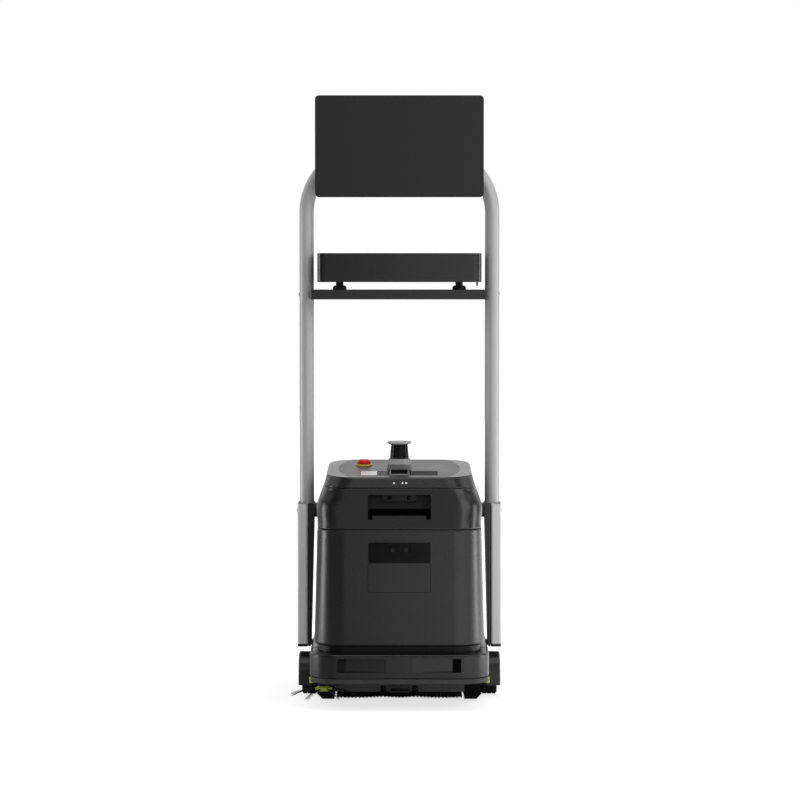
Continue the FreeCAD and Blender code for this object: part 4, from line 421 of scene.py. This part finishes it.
# %% Slot finishes
finishes = {
    "graphite_shell": moulded("graphite_shell", grey(0.008), 0.27, specular=0.40),
    "deck_black": moulded("deck_black", grey(0.010), 0.36, grain=2000, specular=0.26),
    "bumper_black": moulded("bumper_black", grey(0.007), 0.27, specular=0.40),
    "strip_rubber": rubbery("strip_rubber", grey(0.028), 0.5),
    "sensor_black": polished("sensor_black", grey(0.001), specular=0.05),
    "window_glass": polished("window_glass", grey(0.002), 0.08, alpha=0.8, specular=0.12),
    "camera_black": moulded("camera_black", grey(0.005), 0.3, specular=0.2),
    "screen_grey": polished("screen_grey", grey(0.30), 0.2),
    "light_white": polished("light_white", grey(0.7), 0.3),
    "cap_grey": moulded("cap_grey", grey(0.34), 0.5, depth=0.00001, specular=0.2),
    "stop_red": moulded("stop_red", (0.55, 0.010, 0.008, 1), 0.3, depth=0.00002, specular=0.3),
    "stop_yellow": moulded("stop_yellow", (0.50, 0.40, 0.04, 1), 0.4),
    "chassis_paint": powder_coat("chassis_paint", grey(0.004), 0.34, specular=0.15),
    "motor_steel": grained_metal("motor_steel", grey(0.40), 0.35, "X"),
    "tyre_rubber": rubbery("tyre_rubber", grey(0.006)),
    "hub_plastic": moulded("hub_plastic", grey(0.02), 0.45),
    "caster_grey": rubbery("caster_grey", grey(0.03)),
    "zinc": grained_metal("zinc", grey(0.45), 0.38, "Z"),
    "bristle_black": moulded("bristle_black", grey(0.003), 0.5, depth=0.0, specular=0.2),
    "brush_yellow": moulded("brush_yellow", (0.33, 0.42, 0.03, 1), 0.4),
    "battery_case": powder_coat("battery_case", grey(0.02), 0.5),
    "board_green": moulded("board_green", (0.01, 0.06, 0.03, 1), 0.4),
    "leg_silver": grained_metal("leg_silver", grey(0.385), 0.50, "Z", contrast=0.05, metallic=0.3),
    "bracket_black": powder_coat("bracket_black", grey(0.006), 0.42),
    "tray_black": powder_coat("tray_black", grey(0.014), 0.22, depth=0.00002, specular=0.42),
    "shelf_black": powder_coat("shelf_black", grey(0.006), 0.40),
    "foot_rubber": rubbery("foot_rubber", grey(0.008)),
    "display_black": moulded("display_black", grey(0.012), 0.45),
    "display_matt": moulded("display_matt", grey(0.011), 0.42, grain=5000, depth=0.00001, specular=0.3),
    "contact_brass": grained_metal("contact_brass", (0.60, 0.42, 0.16, 1), 0.25, "Z"),
}
print("made", len(finishes), "finishes")

# %% [markdown]
# ### From slots to nodes
# The record gives each node the name of its material slot, and that name picks the finish. Nodes could be
# dressed one by one, but the loop also dresses a node that is added later.

# %% Dress the nodes
for entry in frame["record"]["subparts"]:
    plain = nodes[entry["node"]]
    plain.data.materials.clear()
    plain.data.materials.append(finishes[entry["material_slot"]].owner)
print("finished", len(nodes), "nodes")

# %% [markdown]
# ### Pieces that differ from their slot
# A few pieces share a material slot with others, yet look different on the robot: the flat legs are
# brushed brighter than the round posts, the scanner's window is duller than the front one, and the
# wheel arches are painted paler than the bumper, for the light that falls on the right one. Each gets a
# finish of its own, of the same kinds.

# %% Finishes of single pieces
single = {
    "left_leg": grained_metal("leg_plate", grey(0.64), 0.46, "Z", contrast=0.05, metallic=0.25),
    "scanner_window": polished("scanner_glass", grey(0.008), 0.2, specular=0.08),
    # Painted light: both arches are painted paler than the bumper, for the light that falls on the right one.
    "left_wheel_arch": moulded("arch_painted_light", grey(0.014), 0.34),
}
single["right_leg"] = single["left_leg"]
single["right_wheel_arch"] = single["left_wheel_arch"]
print("set apart", ", ".join(single))

# %% [markdown]
# ### Masks
# Some pieces change along their own length: the scanner's foot is pale above its joint, the film in the
# deck is black behind the scanner's tongue, the pocket's inside is painted darker and dull for the shade in
# the recess and ends in a black slot, the left sensor in the bumper is a little paler than the right one, and
# the brush tunnel's bearing blocks are darker than its front. A second material on some faces would need
# edges along each border, which these meshes don't have. So a mask is used: a product of ramps over the
# piece's coordinates, 1 inside and 0 outside.

# %% Masked finishes
EDGE = 0.5 * MM                 # a mask fades over twice this
JOINT_DROP = 32.82 * MM         # the foot's joint, under the top of the scanner's base
GROOVE = (1.5 * MM, 0.2 * MM)   # lower and upper edge of the groove, under the joint
TONGUE_HALF = 30 * MM           # the film's black part, from the middle
BEARING_GAP = 6 * MM            # from the roller's end to the bearing blocks
PANE_HALF = 10 * MM             # from the middle, well before either sensor
# The pocket's painted shade, darker and dull, spans these:
POCKET_HALF = 88 * MM           # the dull part of the pocket, from the middle
POCKET_FRONT = 2.7 * MM         # behind the depth camera's front
POCKET_BACK = 64.7 * MM         # behind its back
SLOT_DROP = 20.7 * MM           # top of the black slot, under the depth camera


def above(field, level):
    """0 below a level, 1 above it."""
    return field.ramp(level - EDGE, level + EDGE)


def within(field, low, high):
    """1 where the field lies between two levels."""
    return above(field, low) * (1 - above(field, high))


foot = single["scanner_base"] = moulded("scanner_foot", grey(0.08), 0.42, specular=0.4)
joint_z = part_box("scanner_base")[1].z - JOINT_DROP
foot_tone = foot.mix(grey(0.09), grey(0.24), above(foot.axis("Z"), joint_z))
in_groove = within(foot.axis("Z"), joint_z - GROOVE[0], joint_z - GROOVE[1])
foot.set(base_color=foot.mix(foot_tone, grey(0.01), in_groove))

film = single["deck_windows"] = moulded("deck_film", grey(0.05), 0.5, depth=0.00001, specular=0.0)
film_tone = film.mix(grey(0.10), grey(0.055), film.axis("X").ramp(-TONGUE_HALF, TONGUE_HALF))
film.set(base_color=film.mix(film_tone, grey(0.006), within(film.axis("X"), -TONGUE_HALF, TONGUE_HALF)))

tunnel = single["brush_tunnel"] = moulded("tunnel_plastic", grey(0.07), 0.4, specular=0.4)
blocks_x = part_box("roller_brush")[1].x + BEARING_GAP
in_blocks = 1 - within(tunnel.axis("X"), -blocks_x, blocks_x)
tunnel.patch(in_blocks, base_color=grey(0.003), roughness=0.6, specular_ior_level=0.1)

pane = single["bumper_sensors"] = polished("sensor_pane", grey(0.001), specular=0.02)
pane.set(base_color=pane.mix(grey(0.012), grey(0.001), pane.axis("X").ramp(-PANE_HALF, PANE_HALF)))

# Painted shade: the pocket's inside is painted darker and dull for the shade in the recess, with a black slot
# under the depth camera.
cover = single["upper_cover"] = moulded("cover_with_pocket_shade", grey(0.008), 0.27, specular=0.40)
bar_low, bar_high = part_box("depth_camera")
pocket_depth = within(cover.axis("Y"), bar_low.y + POCKET_FRONT, bar_high.y + POCKET_BACK)
pocket_shade_mask = within(cover.axis("X"), -POCKET_HALF, POCKET_HALF) * pocket_depth
pocket_shade_tone = cover.mix(grey(0.002), grey(0.018), above(cover.axis("Z"), bar_low.z - SLOT_DROP))
cover.patch(pocket_shade_mask, base_color=pocket_shade_tone, roughness=0.6, specular_ior_level=0.05)

for name, look in single.items():
    nodes[name].data.materials.clear()
    nodes[name].data.materials.append(look.owner)
print("refinished", ", ".join(single))

# %% [markdown]
# ## Making a piece
# CAD leaves the soft and the small to Blender: bristles, rubber flaps, screws, lens glass. Each new piece
# takes the same last steps, so one function holds them: its normals are made to agree, it is shaded
# smooth up to its sharp edges, and it is told its finish and the body that it moves with. A shape that
# repeats is made once, as a small mesh, and stamped where it is needed.


# %% Piece helpers
SHARP = math.radians(35)


def small_mesh(bm, name):
    mesh = bpy.data.meshes.new(name)
    bm.to_mesh(mesh)
    bm.free()
    return mesh


def stamp(bm, shape, place):
    """Add a copy of a small mesh, moved to its place."""
    copy = shape.copy()
    copy.transform(place)
    bm.from_mesh(copy)
    bpy.data.meshes.remove(copy)


def add_piece(name, bm, body, slot, stands_for=None, look=None):
    """Make a bmesh a piece of the robot that moves with a body."""
    bmesh.ops.recalc_face_normals(bm, faces=bm.faces)
    mesh = small_mesh(bm, name)
    mesh.shade_smooth()
    mesh.set_sharp_from_angle(angle=SHARP)
    mesh.materials.append((look or finishes[slot]).owner)
    piece = bpy.data.objects.new(name, mesh)
    scene.collection.objects.link(piece)
    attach(piece, body)
    if stands_for:
        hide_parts(stands_for)
    print(name, "has", len(mesh.polygons), "faces and rides on", body)


print("piece helpers ready")

# %% [markdown]
# ## Roller bristles
# The sweeping roller carries nylon tufts in rows that wind outwards from the middle, so that dirt is
# drawn to the centre. A hair system could grow them, but it would leave no mesh to hand on. So a tuft
# of a few tapering bristles is made in three versions, and one of them is stamped at each hole of each
# row, with its own turn. The tips reach a little past the solid that CAD keeps for them. Towards the
# root the bristles stand so close that no light passes: a bent strip fills each row there.

# %% Roller bristles
ROWS = 8
ROW_TWIST = math.radians(50)
HOLE_PITCH = 9.5 * MM
ROOT_SUNK = 1.0 * MM        # how deep a tuft sits in the core
TIP_REACH = 3.5 * MM        # past the CAD solid
TUFT_KINDS = 3
TUFT_BRISTLES = 14
TUFT_ROOT = 2.2 * MM
TUFT_SPLAY = math.radians(3)
BRISTLE = 0.85 * MM
BRISTLE_TIP = 0.7           # share of its root's radius
BRISTLE_CUT = (0.93, 1.0)   # how unevenly the tips are trimmed
STRIP_CUTS = 48
STRIP_THICK = 2.0 * MM
TIP_FREE = 5.0 * MM         # bare tips past the strip
QUARTER = math.radians(90)
dice = random.Random(7)


def middle(node):
    """The middle of a CAD node's box."""
    low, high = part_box(node)
    return (low + high) / 2


def tuft(length):
    """A bundle of bristles that stands on the origin and splays upwards."""
    bm = bmesh.new()
    for _ in range(TUFT_BRISTLES):
        out = math.sqrt(dice.random())
        tall = length * dice.uniform(*BRISTLE_CUT)
        heading = Matrix.Rotation(dice.uniform(0, math.tau), 4, "Z")
        place = (heading @ Matrix.Translation((out * TUFT_ROOT, 0, 0))
                 @ Matrix.Rotation(out * TUFT_SPLAY, 4, "Y") @ Matrix.Translation((0, 0, tall / 2)))
        bmesh.ops.create_cone(bm, cap_ends=True, segments=3, radius1=BRISTLE, radius2=BRISTLE * BRISTLE_TIP,
                              depth=tall, matrix=place)
    return small_mesh(bm, "tuft")


low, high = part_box("roller_brush")
axis = middle("roller_brush")
roller_half = (high.x - low.x) / 2 - TUFT_ROOT
core_low, core_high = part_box("roller_core")
root = (core_high.z - core_low.z) / 2 - ROOT_SUNK
tip = (high.z - low.z) / 2 + TIP_REACH
tufts = [tuft(tip - root) for _ in range(TUFT_KINDS)]
holes = round(2 * roller_half / HOLE_PITCH)
bristles = bmesh.new()
for row in range(ROWS):
    for hole in range(holes + 1):
        x = -roller_half + 2 * roller_half * hole / holes
        turn = math.tau * row / ROWS + ROW_TWIST * abs(x) / roller_half - QUARTER
        place = (Matrix.Translation((x, axis.y, axis.z)) @ Matrix.Rotation(turn, 4, "X")
                 @ Matrix.Translation((0, 0, root)) @ Matrix.Rotation(dice.uniform(0, math.tau), 4, "Z"))
        stamp(bristles, dice.choice(tufts), place)
for row in range(ROWS):
    root_strip = bmesh.new()
    bmesh.ops.create_grid(root_strip, x_segments=STRIP_CUTS, y_segments=1, size=1.0)
    for vertex in root_strip.verts:
        turn = math.tau * row / ROWS + ROW_TWIST * abs(vertex.co.x)
        out = root + (vertex.co.y + 1) / 2 * (tip - TIP_FREE - root)
        around = (axis.y + out * math.cos(turn), axis.z + out * math.sin(turn))
        vertex.co = (vertex.co.x * roller_half, *around)
    bmesh.ops.solidify(root_strip, geom=root_strip.faces[:], thickness=STRIP_THICK)
    strip_mesh = small_mesh(root_strip, "root_strip")
    stamp(bristles, strip_mesh, Matrix())
    bpy.data.meshes.remove(strip_mesh)
add_piece("roller_bristles", bristles, "roller", "bristle_black", "roller_brush")

# %% [markdown]
# ## Side brush
# Six tufts of long bristles fan out from a yellow-green hub and droop under their own weight. A cone per
# tuft looks like a stick, so each bristle is a thin tapering bar, cut across a few times and bent down by
# the square of its reach, as a cantilever bends. The hub gets a short moulded socket for each tuft.

# %% Side brush
TUFTS = 6
STRANDS = 18
STRAND = 0.55 * MM
STRAND_TIP = 0.5            # share of its root's radius
STRAND_BENDS = 4
STRAND_CUT = (0.9, 1.0)
REACH = 88 * MM             # hub's middle to the tips, short of the brush tunnel
START = 0.6                 # share of the hub's radius at which a tuft is rooted
DROOP = (13 * MM, 20 * MM)
FAN = 3.2                   # degrees, how far most strands stray
BUNDLE = 1.6 * MM           # half of a tuft's thickness at its root
TUFT_RISE = 7 * MM          # above the hub's underside
SOCKET = 7 * MM
SOCKET_RADII = (4.2 * MM, 2.6 * MM)
SOCKET_OUT = 1 * MM         # its middle, past the hub


def strand(length, droop):
    """One bristle along +X that bends down towards its tip."""
    bm = bmesh.new()
    lie = Matrix.Translation((length / 2, 0, 0)) @ Matrix.Rotation(QUARTER, 4, "Y")
    bmesh.ops.create_cone(bm, cap_ends=True, segments=3, radius1=STRAND, radius2=STRAND * STRAND_TIP,
                          depth=length, matrix=lie)
    lengthways = [edge for edge in bm.edges if edge.calc_length() > length / 2]
    bmesh.ops.subdivide_edges(bm, edges=lengthways, cuts=STRAND_BENDS)
    for vertex in bm.verts:
        vertex.co.z -= droop * (vertex.co.x / length) ** 2
    return small_mesh(bm, "strand")


hub = middle("side_hub")
hub_low, hub_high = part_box("side_hub")
hub_radius = (hub_high.x - hub_low.x) / 2
hub_middle = Matrix.Translation((hub.x, hub.y, hub_low.z + TUFT_RISE))
start = hub_radius * START
fans = bmesh.new()
sockets = bmesh.new()
for number in range(TUFTS):
    heading = math.tau * number / TUFTS
    centre = hub_middle @ Matrix.Rotation(heading, 4, "Z")
    bmesh.ops.create_cone(sockets, cap_ends=True, segments=12, radius1=SOCKET_RADII[0], radius2=SOCKET_RADII[1],
                          depth=SOCKET, matrix=centre @ Matrix.Translation((hub_radius + SOCKET_OUT, 0, 0))
                          @ Matrix.Rotation(QUARTER, 4, "Y"))
    for _ in range(STRANDS):
        bristle = strand((REACH - start) * dice.uniform(*STRAND_CUT), dice.uniform(*DROOP))
        swing = Matrix.Rotation(math.radians(dice.gauss(0, FAN)), 4, "Z")
        side = Matrix.Translation((start, dice.uniform(-BUNDLE, BUNDLE), dice.uniform(-BUNDLE, BUNDLE)))
        stamp(fans, bristle, centre @ swing @ side)
        bpy.data.meshes.remove(bristle)
add_piece("side_brush_strands", fans, "side_brush", "bristle_black", "side_tufts")
add_piece("side_brush_sockets", sockets, "side_brush", "brush_yellow")

# %% [markdown]
# ## Rear flaps
# Rubber flaps hang behind the roller and keep the swept dirt in its tunnel. One flap is a thin rounded
# block, and a row of them with narrow slits between bends over crumbs better than one long sheet. A clamp
# strip holds their upper edge.

# %% Flaps and clamp
FLAP = Vector((29.2, 1.8, 32.0)) * MM
FLAP_PITCH = 30 * MM
FLAP_CLEAR = 7 * MM         # above the floor
FLAP_ROUND = 0.6 * MM
CLAMP = Vector((340, 2.5, 9)) * MM
CLAMP_ROUND = 0.5 * MM


def rounded_block(size, rounding):
    """A block centred on the origin with every edge rounded."""
    bm = bmesh.new()
    bmesh.ops.create_cube(bm, size=1.0)
    bmesh.ops.scale(bm, vec=size, verts=bm.verts)
    bmesh.ops.bevel(bm, geom=bm.edges[:], offset=rounding, affect="EDGES", segments=2, profile=0.5,
                    material=-1)
    return bm


tunnel_low, tunnel_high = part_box("brush_tunnel")
flap = small_mesh(rounded_block(FLAP, FLAP_ROUND), "flap")
flaps = bmesh.new()
in_row = math.floor(2 * roller_half / FLAP_PITCH)
for number in range(in_row):
    x = (number - (in_row - 1) / 2) * FLAP_PITCH
    stamp(flaps, flap, Matrix.Translation((x, tunnel_high.y + FLAP.y / 2, FLAP_CLEAR + FLAP.z / 2)))
add_piece("rear_flaps", flaps, "brush_deck", "strip_rubber")
clamp = rounded_block(CLAMP, CLAMP_ROUND)
clamp_place = (0, tunnel_high.y + FLAP.y + CLAMP.y / 2, FLAP_CLEAR + FLAP.z - CLAMP.z / 2)
bmesh.ops.translate(clamp, vec=clamp_place, verts=clamp.verts)
add_piece("flap_clamp", clamp, "brush_deck", "bracket_black")

# %% [markdown]
# ## Catch and latches
# At the front of the tunnel sit a catch frame in the middle and two latches, which release the tunnel's
# cover. The frame could be four bars, but they would show where they meet. So it is one sheet: its corners
# are bevelled, its middle is taken out, and it is thickened and stood upright. Behind it lies a dark plate,
# and the latches beside it are plain rounded blocks.

# %% Catch and latches
LIP_DROP = 19 * MM          # roller's axis to the tunnel's lip
CATCH = Vector((56, 18)) * MM
CATCH_CORNER = 5 * MM
CATCH_SUNK = 2 * MM         # under the lip
CATCH_RIM = 5 * MM
CATCH_DEPTH = 7 * MM
BACK = Vector((50, 2, 13)) * MM
BACK_ROUND = 0.4 * MM
LATCH = Vector((15, 9, 18)) * MM
LATCH_ROUND = 1.5 * MM
LATCH_PLACE = 42 * MM       # from the middle


def rim_only(bm, width, inner):
    """Inset the one face there is and delete what the rim leaves inside."""
    bmesh.ops.inset_region(bm, faces=bm.faces[:], thickness=width, use_boundary=True, use_even_offset=True)
    bmesh.ops.delete(bm, geom=[inner(bm.faces)], context="FACES")


catch_z = axis.z - LIP_DROP + CATCH.y / 2 - CATCH_SUNK
catch = bmesh.new()
bmesh.ops.create_grid(catch, x_segments=1, y_segments=1, size=0.5)
bmesh.ops.scale(catch, vec=(CATCH.x, CATCH.y, 1), verts=catch.verts)
bmesh.ops.bevel(catch, geom=catch.verts[:], offset=CATCH_CORNER, affect="VERTICES", segments=3, profile=0.5,
                material=-1)
rim_only(catch, CATCH_RIM, lambda faces: min(faces, key=lambda face: face.calc_center_median().length))
bmesh.ops.solidify(catch, geom=catch.faces[:], thickness=CATCH_DEPTH)
bmesh.ops.rotate(catch, cent=(0, 0, 0), matrix=Matrix.Rotation(QUARTER, 3, "X"), verts=catch.verts)
front = min(vertex.co.y for vertex in catch.verts)
bmesh.ops.translate(catch, vec=(0, tunnel_low.y - CATCH_DEPTH - front, catch_z), verts=catch.verts)
add_piece("tunnel_catch", catch, "brush_deck", "bumper_black")
latch = small_mesh(rounded_block(LATCH, LATCH_ROUND), "latch")
latches = rounded_block(BACK, BACK_ROUND)
bmesh.ops.translate(latches, vec=(0, tunnel_low.y - BACK.y / 2, catch_z), verts=latches.verts)
for side in (-1, 1):
    stamp(latches, latch, Matrix.Translation((side * LATCH_PLACE, tunnel_low.y - LATCH.y / 2, catch_z)))
add_piece("tunnel_latches", latches, "brush_deck", "chassis_paint")

# %% [markdown]
# ## Guide rollers
# A small yellow-green roller stands at each end of the bumper's strip, where the robot would brush along
# a skirting board. Cylinders could be stacked, but would leave hidden faces where they meet. So it is a
# turned shape: a profile of radius and height, spun once round.

# %% Guide rollers
GUIDE_PROFILE = [(0, 0), (5, 0), (7, 1.5), (7, 6.5), (6, 7.5), (6, 9), (7, 10), (7, 15), (5, 16.5),
                 (0, 16.5)]
GUIDE_OUT = 4 * MM       # past the strip
GUIDE_RADIUS = max(radius for radius, height in GUIDE_PROFILE) * MM
GUIDE_BACK = 88 * MM     # behind the front of the strip
GUIDE_DROP = 9 * MM      # under it
MERGE = 0.01 * MM        # points nearer than this are one


def turned(profile, steps, name):
    """Spin a profile of (radius, height) points, in millimetres, once round Z."""
    bm = bmesh.new()
    points = [bm.verts.new((radius * MM, 0, height * MM)) for radius, height in profile]
    edges = [bm.edges.new(pair) for pair in zip(points, points[1:])]
    bmesh.ops.spin(bm, geom=points + edges, cent=(0, 0, 0), axis=(0, 0, 1), angle=math.tau, steps=steps,
                   use_merge=True)
    bmesh.ops.remove_doubles(bm, verts=bm.verts, dist=MERGE)
    return small_mesh(bm, name)


strip_low, strip_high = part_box("bumper_strip")
guide = turned(GUIDE_PROFILE, steps=24, name="guide")
guides = bmesh.new()
for x in (strip_low.x - GUIDE_OUT + GUIDE_RADIUS, strip_high.x + GUIDE_OUT - GUIDE_RADIUS):
    stamp(guides, guide, Matrix.Translation((x, strip_low.y + GUIDE_BACK, strip_low.z - GUIDE_DROP)))
add_piece("guide_rollers", guides, "bumper", "brush_yellow")

# %% [markdown]
# ## Lenses
# Behind the front window sit two cameras, and the bar in the grip pocket holds two more. A flattened ball
# would do for the glass alone. With its ring, a lens is a turned profile again, laid on its side to look
# forwards.

# %% Lenses
LENS_PROFILE = [(0, 1.6), (1.5, 1.5), (3.0, 1.0), (4.0, 0.3), (4.4, 0.9), (5.6, 0.9), (6.0, 0.0), (0, 0.0)]
FORWARDS = Matrix.Rotation(QUARTER, 4, "X")
EYES = 35 * MM              # between the two lenses
EYE_RISE = 6 * MM           # above the window's middle
DEPTH_EYES = 50 * MM        # the same in the bar
lens_dome = turned(LENS_PROFILE, steps=24, name="lens")
glass_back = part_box("front_window")[1].y
eyes = bmesh.new()
for x in (-EYES / 2, EYES / 2):
    place = (x, glass_back, middle("front_window").z + EYE_RISE)
    stamp(eyes, lens_dome, Matrix.Translation(place) @ FORWARDS)
add_piece("twin_lenses", eyes, "base", "screen_grey")
depth_eyes = bmesh.new()
for x in (-DEPTH_EYES / 2, DEPTH_EYES / 2):
    place = (x, bar_low.y, middle("depth_camera").z)
    stamp(depth_eyes, lens_dome, Matrix.Translation(place) @ FORWARDS)
add_piece("depth_lenses", depth_eyes, "base", "window_glass")

# %% [markdown]
# ## Screws
# Button-head screws hold the legs to their brackets, the shelf to the posts and the display to its plate.
# Cutting a socket into each head would leave untidy faces, so the head is turned once with its round
# socket left open, and stamped with its axis along the hole.

# %% Screws
HEAD_PROFILE = [(0, 1.2), (1.9, 1.2), (1.9, 3.0), (3.4, 2.8), (5.0, 1.7), (5.6, 0.0), (0, 0.0)]
OUTWARDS = {-1: Matrix.Rotation(-QUARTER, 4, "Y"), 1: Matrix.Rotation(QUARTER, 4, "Y")}
BACKWARDS = Matrix.Rotation(-QUARTER, 4, "X")
BOSS_RISE = 28 * MM         # leg screws above the cover's seam
BOSS_SPACING = 44 * MM
PLATE_HOLES = 100 * MM      # spacing of the display's screws
PLATE = 4 * MM              # thickness of the display's plate
head = turned(HEAD_PROFILE, steps=12, name="screw_head")
seam_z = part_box("upper_cover")[0].z
screws = bmesh.new()
for side, leg, post in ((-1, "left_leg", "left_post"), (1, "right_leg", "right_post")):
    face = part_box(leg)[0].x if side < 0 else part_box(leg)[1].x
    for step in (-0.5, 0.5):
        place = (face, middle(leg).y + step * BOSS_SPACING, seam_z + BOSS_RISE)
        stamp(screws, head, Matrix.Translation(place) @ OUTWARDS[side])
    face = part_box(post)[0].x if side < 0 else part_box(post)[1].x
    stamp(screws, head, Matrix.Translation((face, middle(post).y, middle("shelf").z)) @ OUTWARDS[side])
plate_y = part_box("display_housing")[1].y + PLATE
for x in (-PLATE_HOLES / 2, PLATE_HOLES / 2):
    for rise in (-PLATE_HOLES / 2, PLATE_HOLES / 2):
        place = (x, plate_y, middle("display_glass").z + rise)
        stamp(screws, head, Matrix.Translation(place) @ BACKWARDS)
add_piece("button_screws", screws, "base", "zinc")

# %% [markdown]
# ## Deck gasket
# A soft black gasket fills the joint round the deck panel. Its path is the panel's own outline: the hull of
# the corners of the panel's top. The face that they span is inset, and only the narrow rim is kept.
# At a glancing look any sheen would hide it, so it has a rubber of its own without one.
# A known fault is left here: the new face has no normal yet when it is inset, so the rim gets no width and
# the gasket doesn't show. Calling normal_update before the inset would give it its width.

# %% Deck gasket
GASKET = 4 * MM
GASKET_RISE = 0.4 * MM
LEVEL = 0.9                 # a face looks up if its normal rises more than this
deck = nodes["deck_panel"].data
tops = {index for face in deck.polygons if face.normal.z > LEVEL for index in face.vertices}
corners = [deck.vertices[index].co for index in tops]
gasket = bmesh.new()
hull = convex_hull_2d([corner.xy for corner in corners])
outline = [gasket.verts.new(corners[index]) for index in hull]
gasket.faces.new(outline)
bottom = min(vertex.co.z for vertex in outline)
rim_only(gasket, GASKET, lambda faces: max(faces, key=lambda face: face.calc_area()))
bmesh.ops.solidify(gasket, geom=gasket.faces[:], thickness=GASKET_RISE)
lowest = min(vertex.co.z for vertex in gasket.verts)
bmesh.ops.translate(gasket, vec=(0, 0, bottom - lowest), verts=gasket.verts)
dull = moulded("gasket_rubber", grey(0.012), 0.8, depth=0.0, specular=0.0)
add_piece("deck_gasket", gasket, "base", "foot_rubber", look=dull)

# %% [markdown]
# ## Caster nuts
# Each caster's wheel turns on a bolt through its fork, with a nut on either cheek. The thread is out of
# sight, so a nut is a plain six-sided cylinder with its upper edge bevelled.

# %% Caster nuts
NUT_RADIUS = 6.5 * MM
NUT_TALL = 4.5 * MM
NUT_BEVEL = 0.9 * MM
blank = bmesh.new()
bmesh.ops.create_cone(blank, cap_ends=True, segments=6, radius1=NUT_RADIUS, radius2=NUT_RADIUS, depth=NUT_TALL,
                      matrix=Matrix.Translation((0, 0, NUT_TALL / 2)))
crown = [edge for edge in blank.edges if all(vertex.co.z > NUT_TALL / 2 for vertex in edge.verts)]
bmesh.ops.bevel(blank, geom=crown, offset=NUT_BEVEL, affect="EDGES", segments=2, profile=0.5, material=-1)
nut = small_mesh(blank, "nut")
for side in ("left", "right"):
    wheel = middle(side + "_caster_wheel")
    fork_low, fork_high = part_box(side + "_caster_fork")
    nuts = bmesh.new()
    stamp(nuts, nut, Matrix.Translation((fork_low.x, wheel.y, wheel.z)) @ OUTWARDS[-1])
    stamp(nuts, nut, Matrix.Translation((fork_high.x, wheel.y, wheel.z)) @ OUTWARDS[1])
    add_piece(side + "_caster_nuts", nuts, side + "_caster", "zinc")
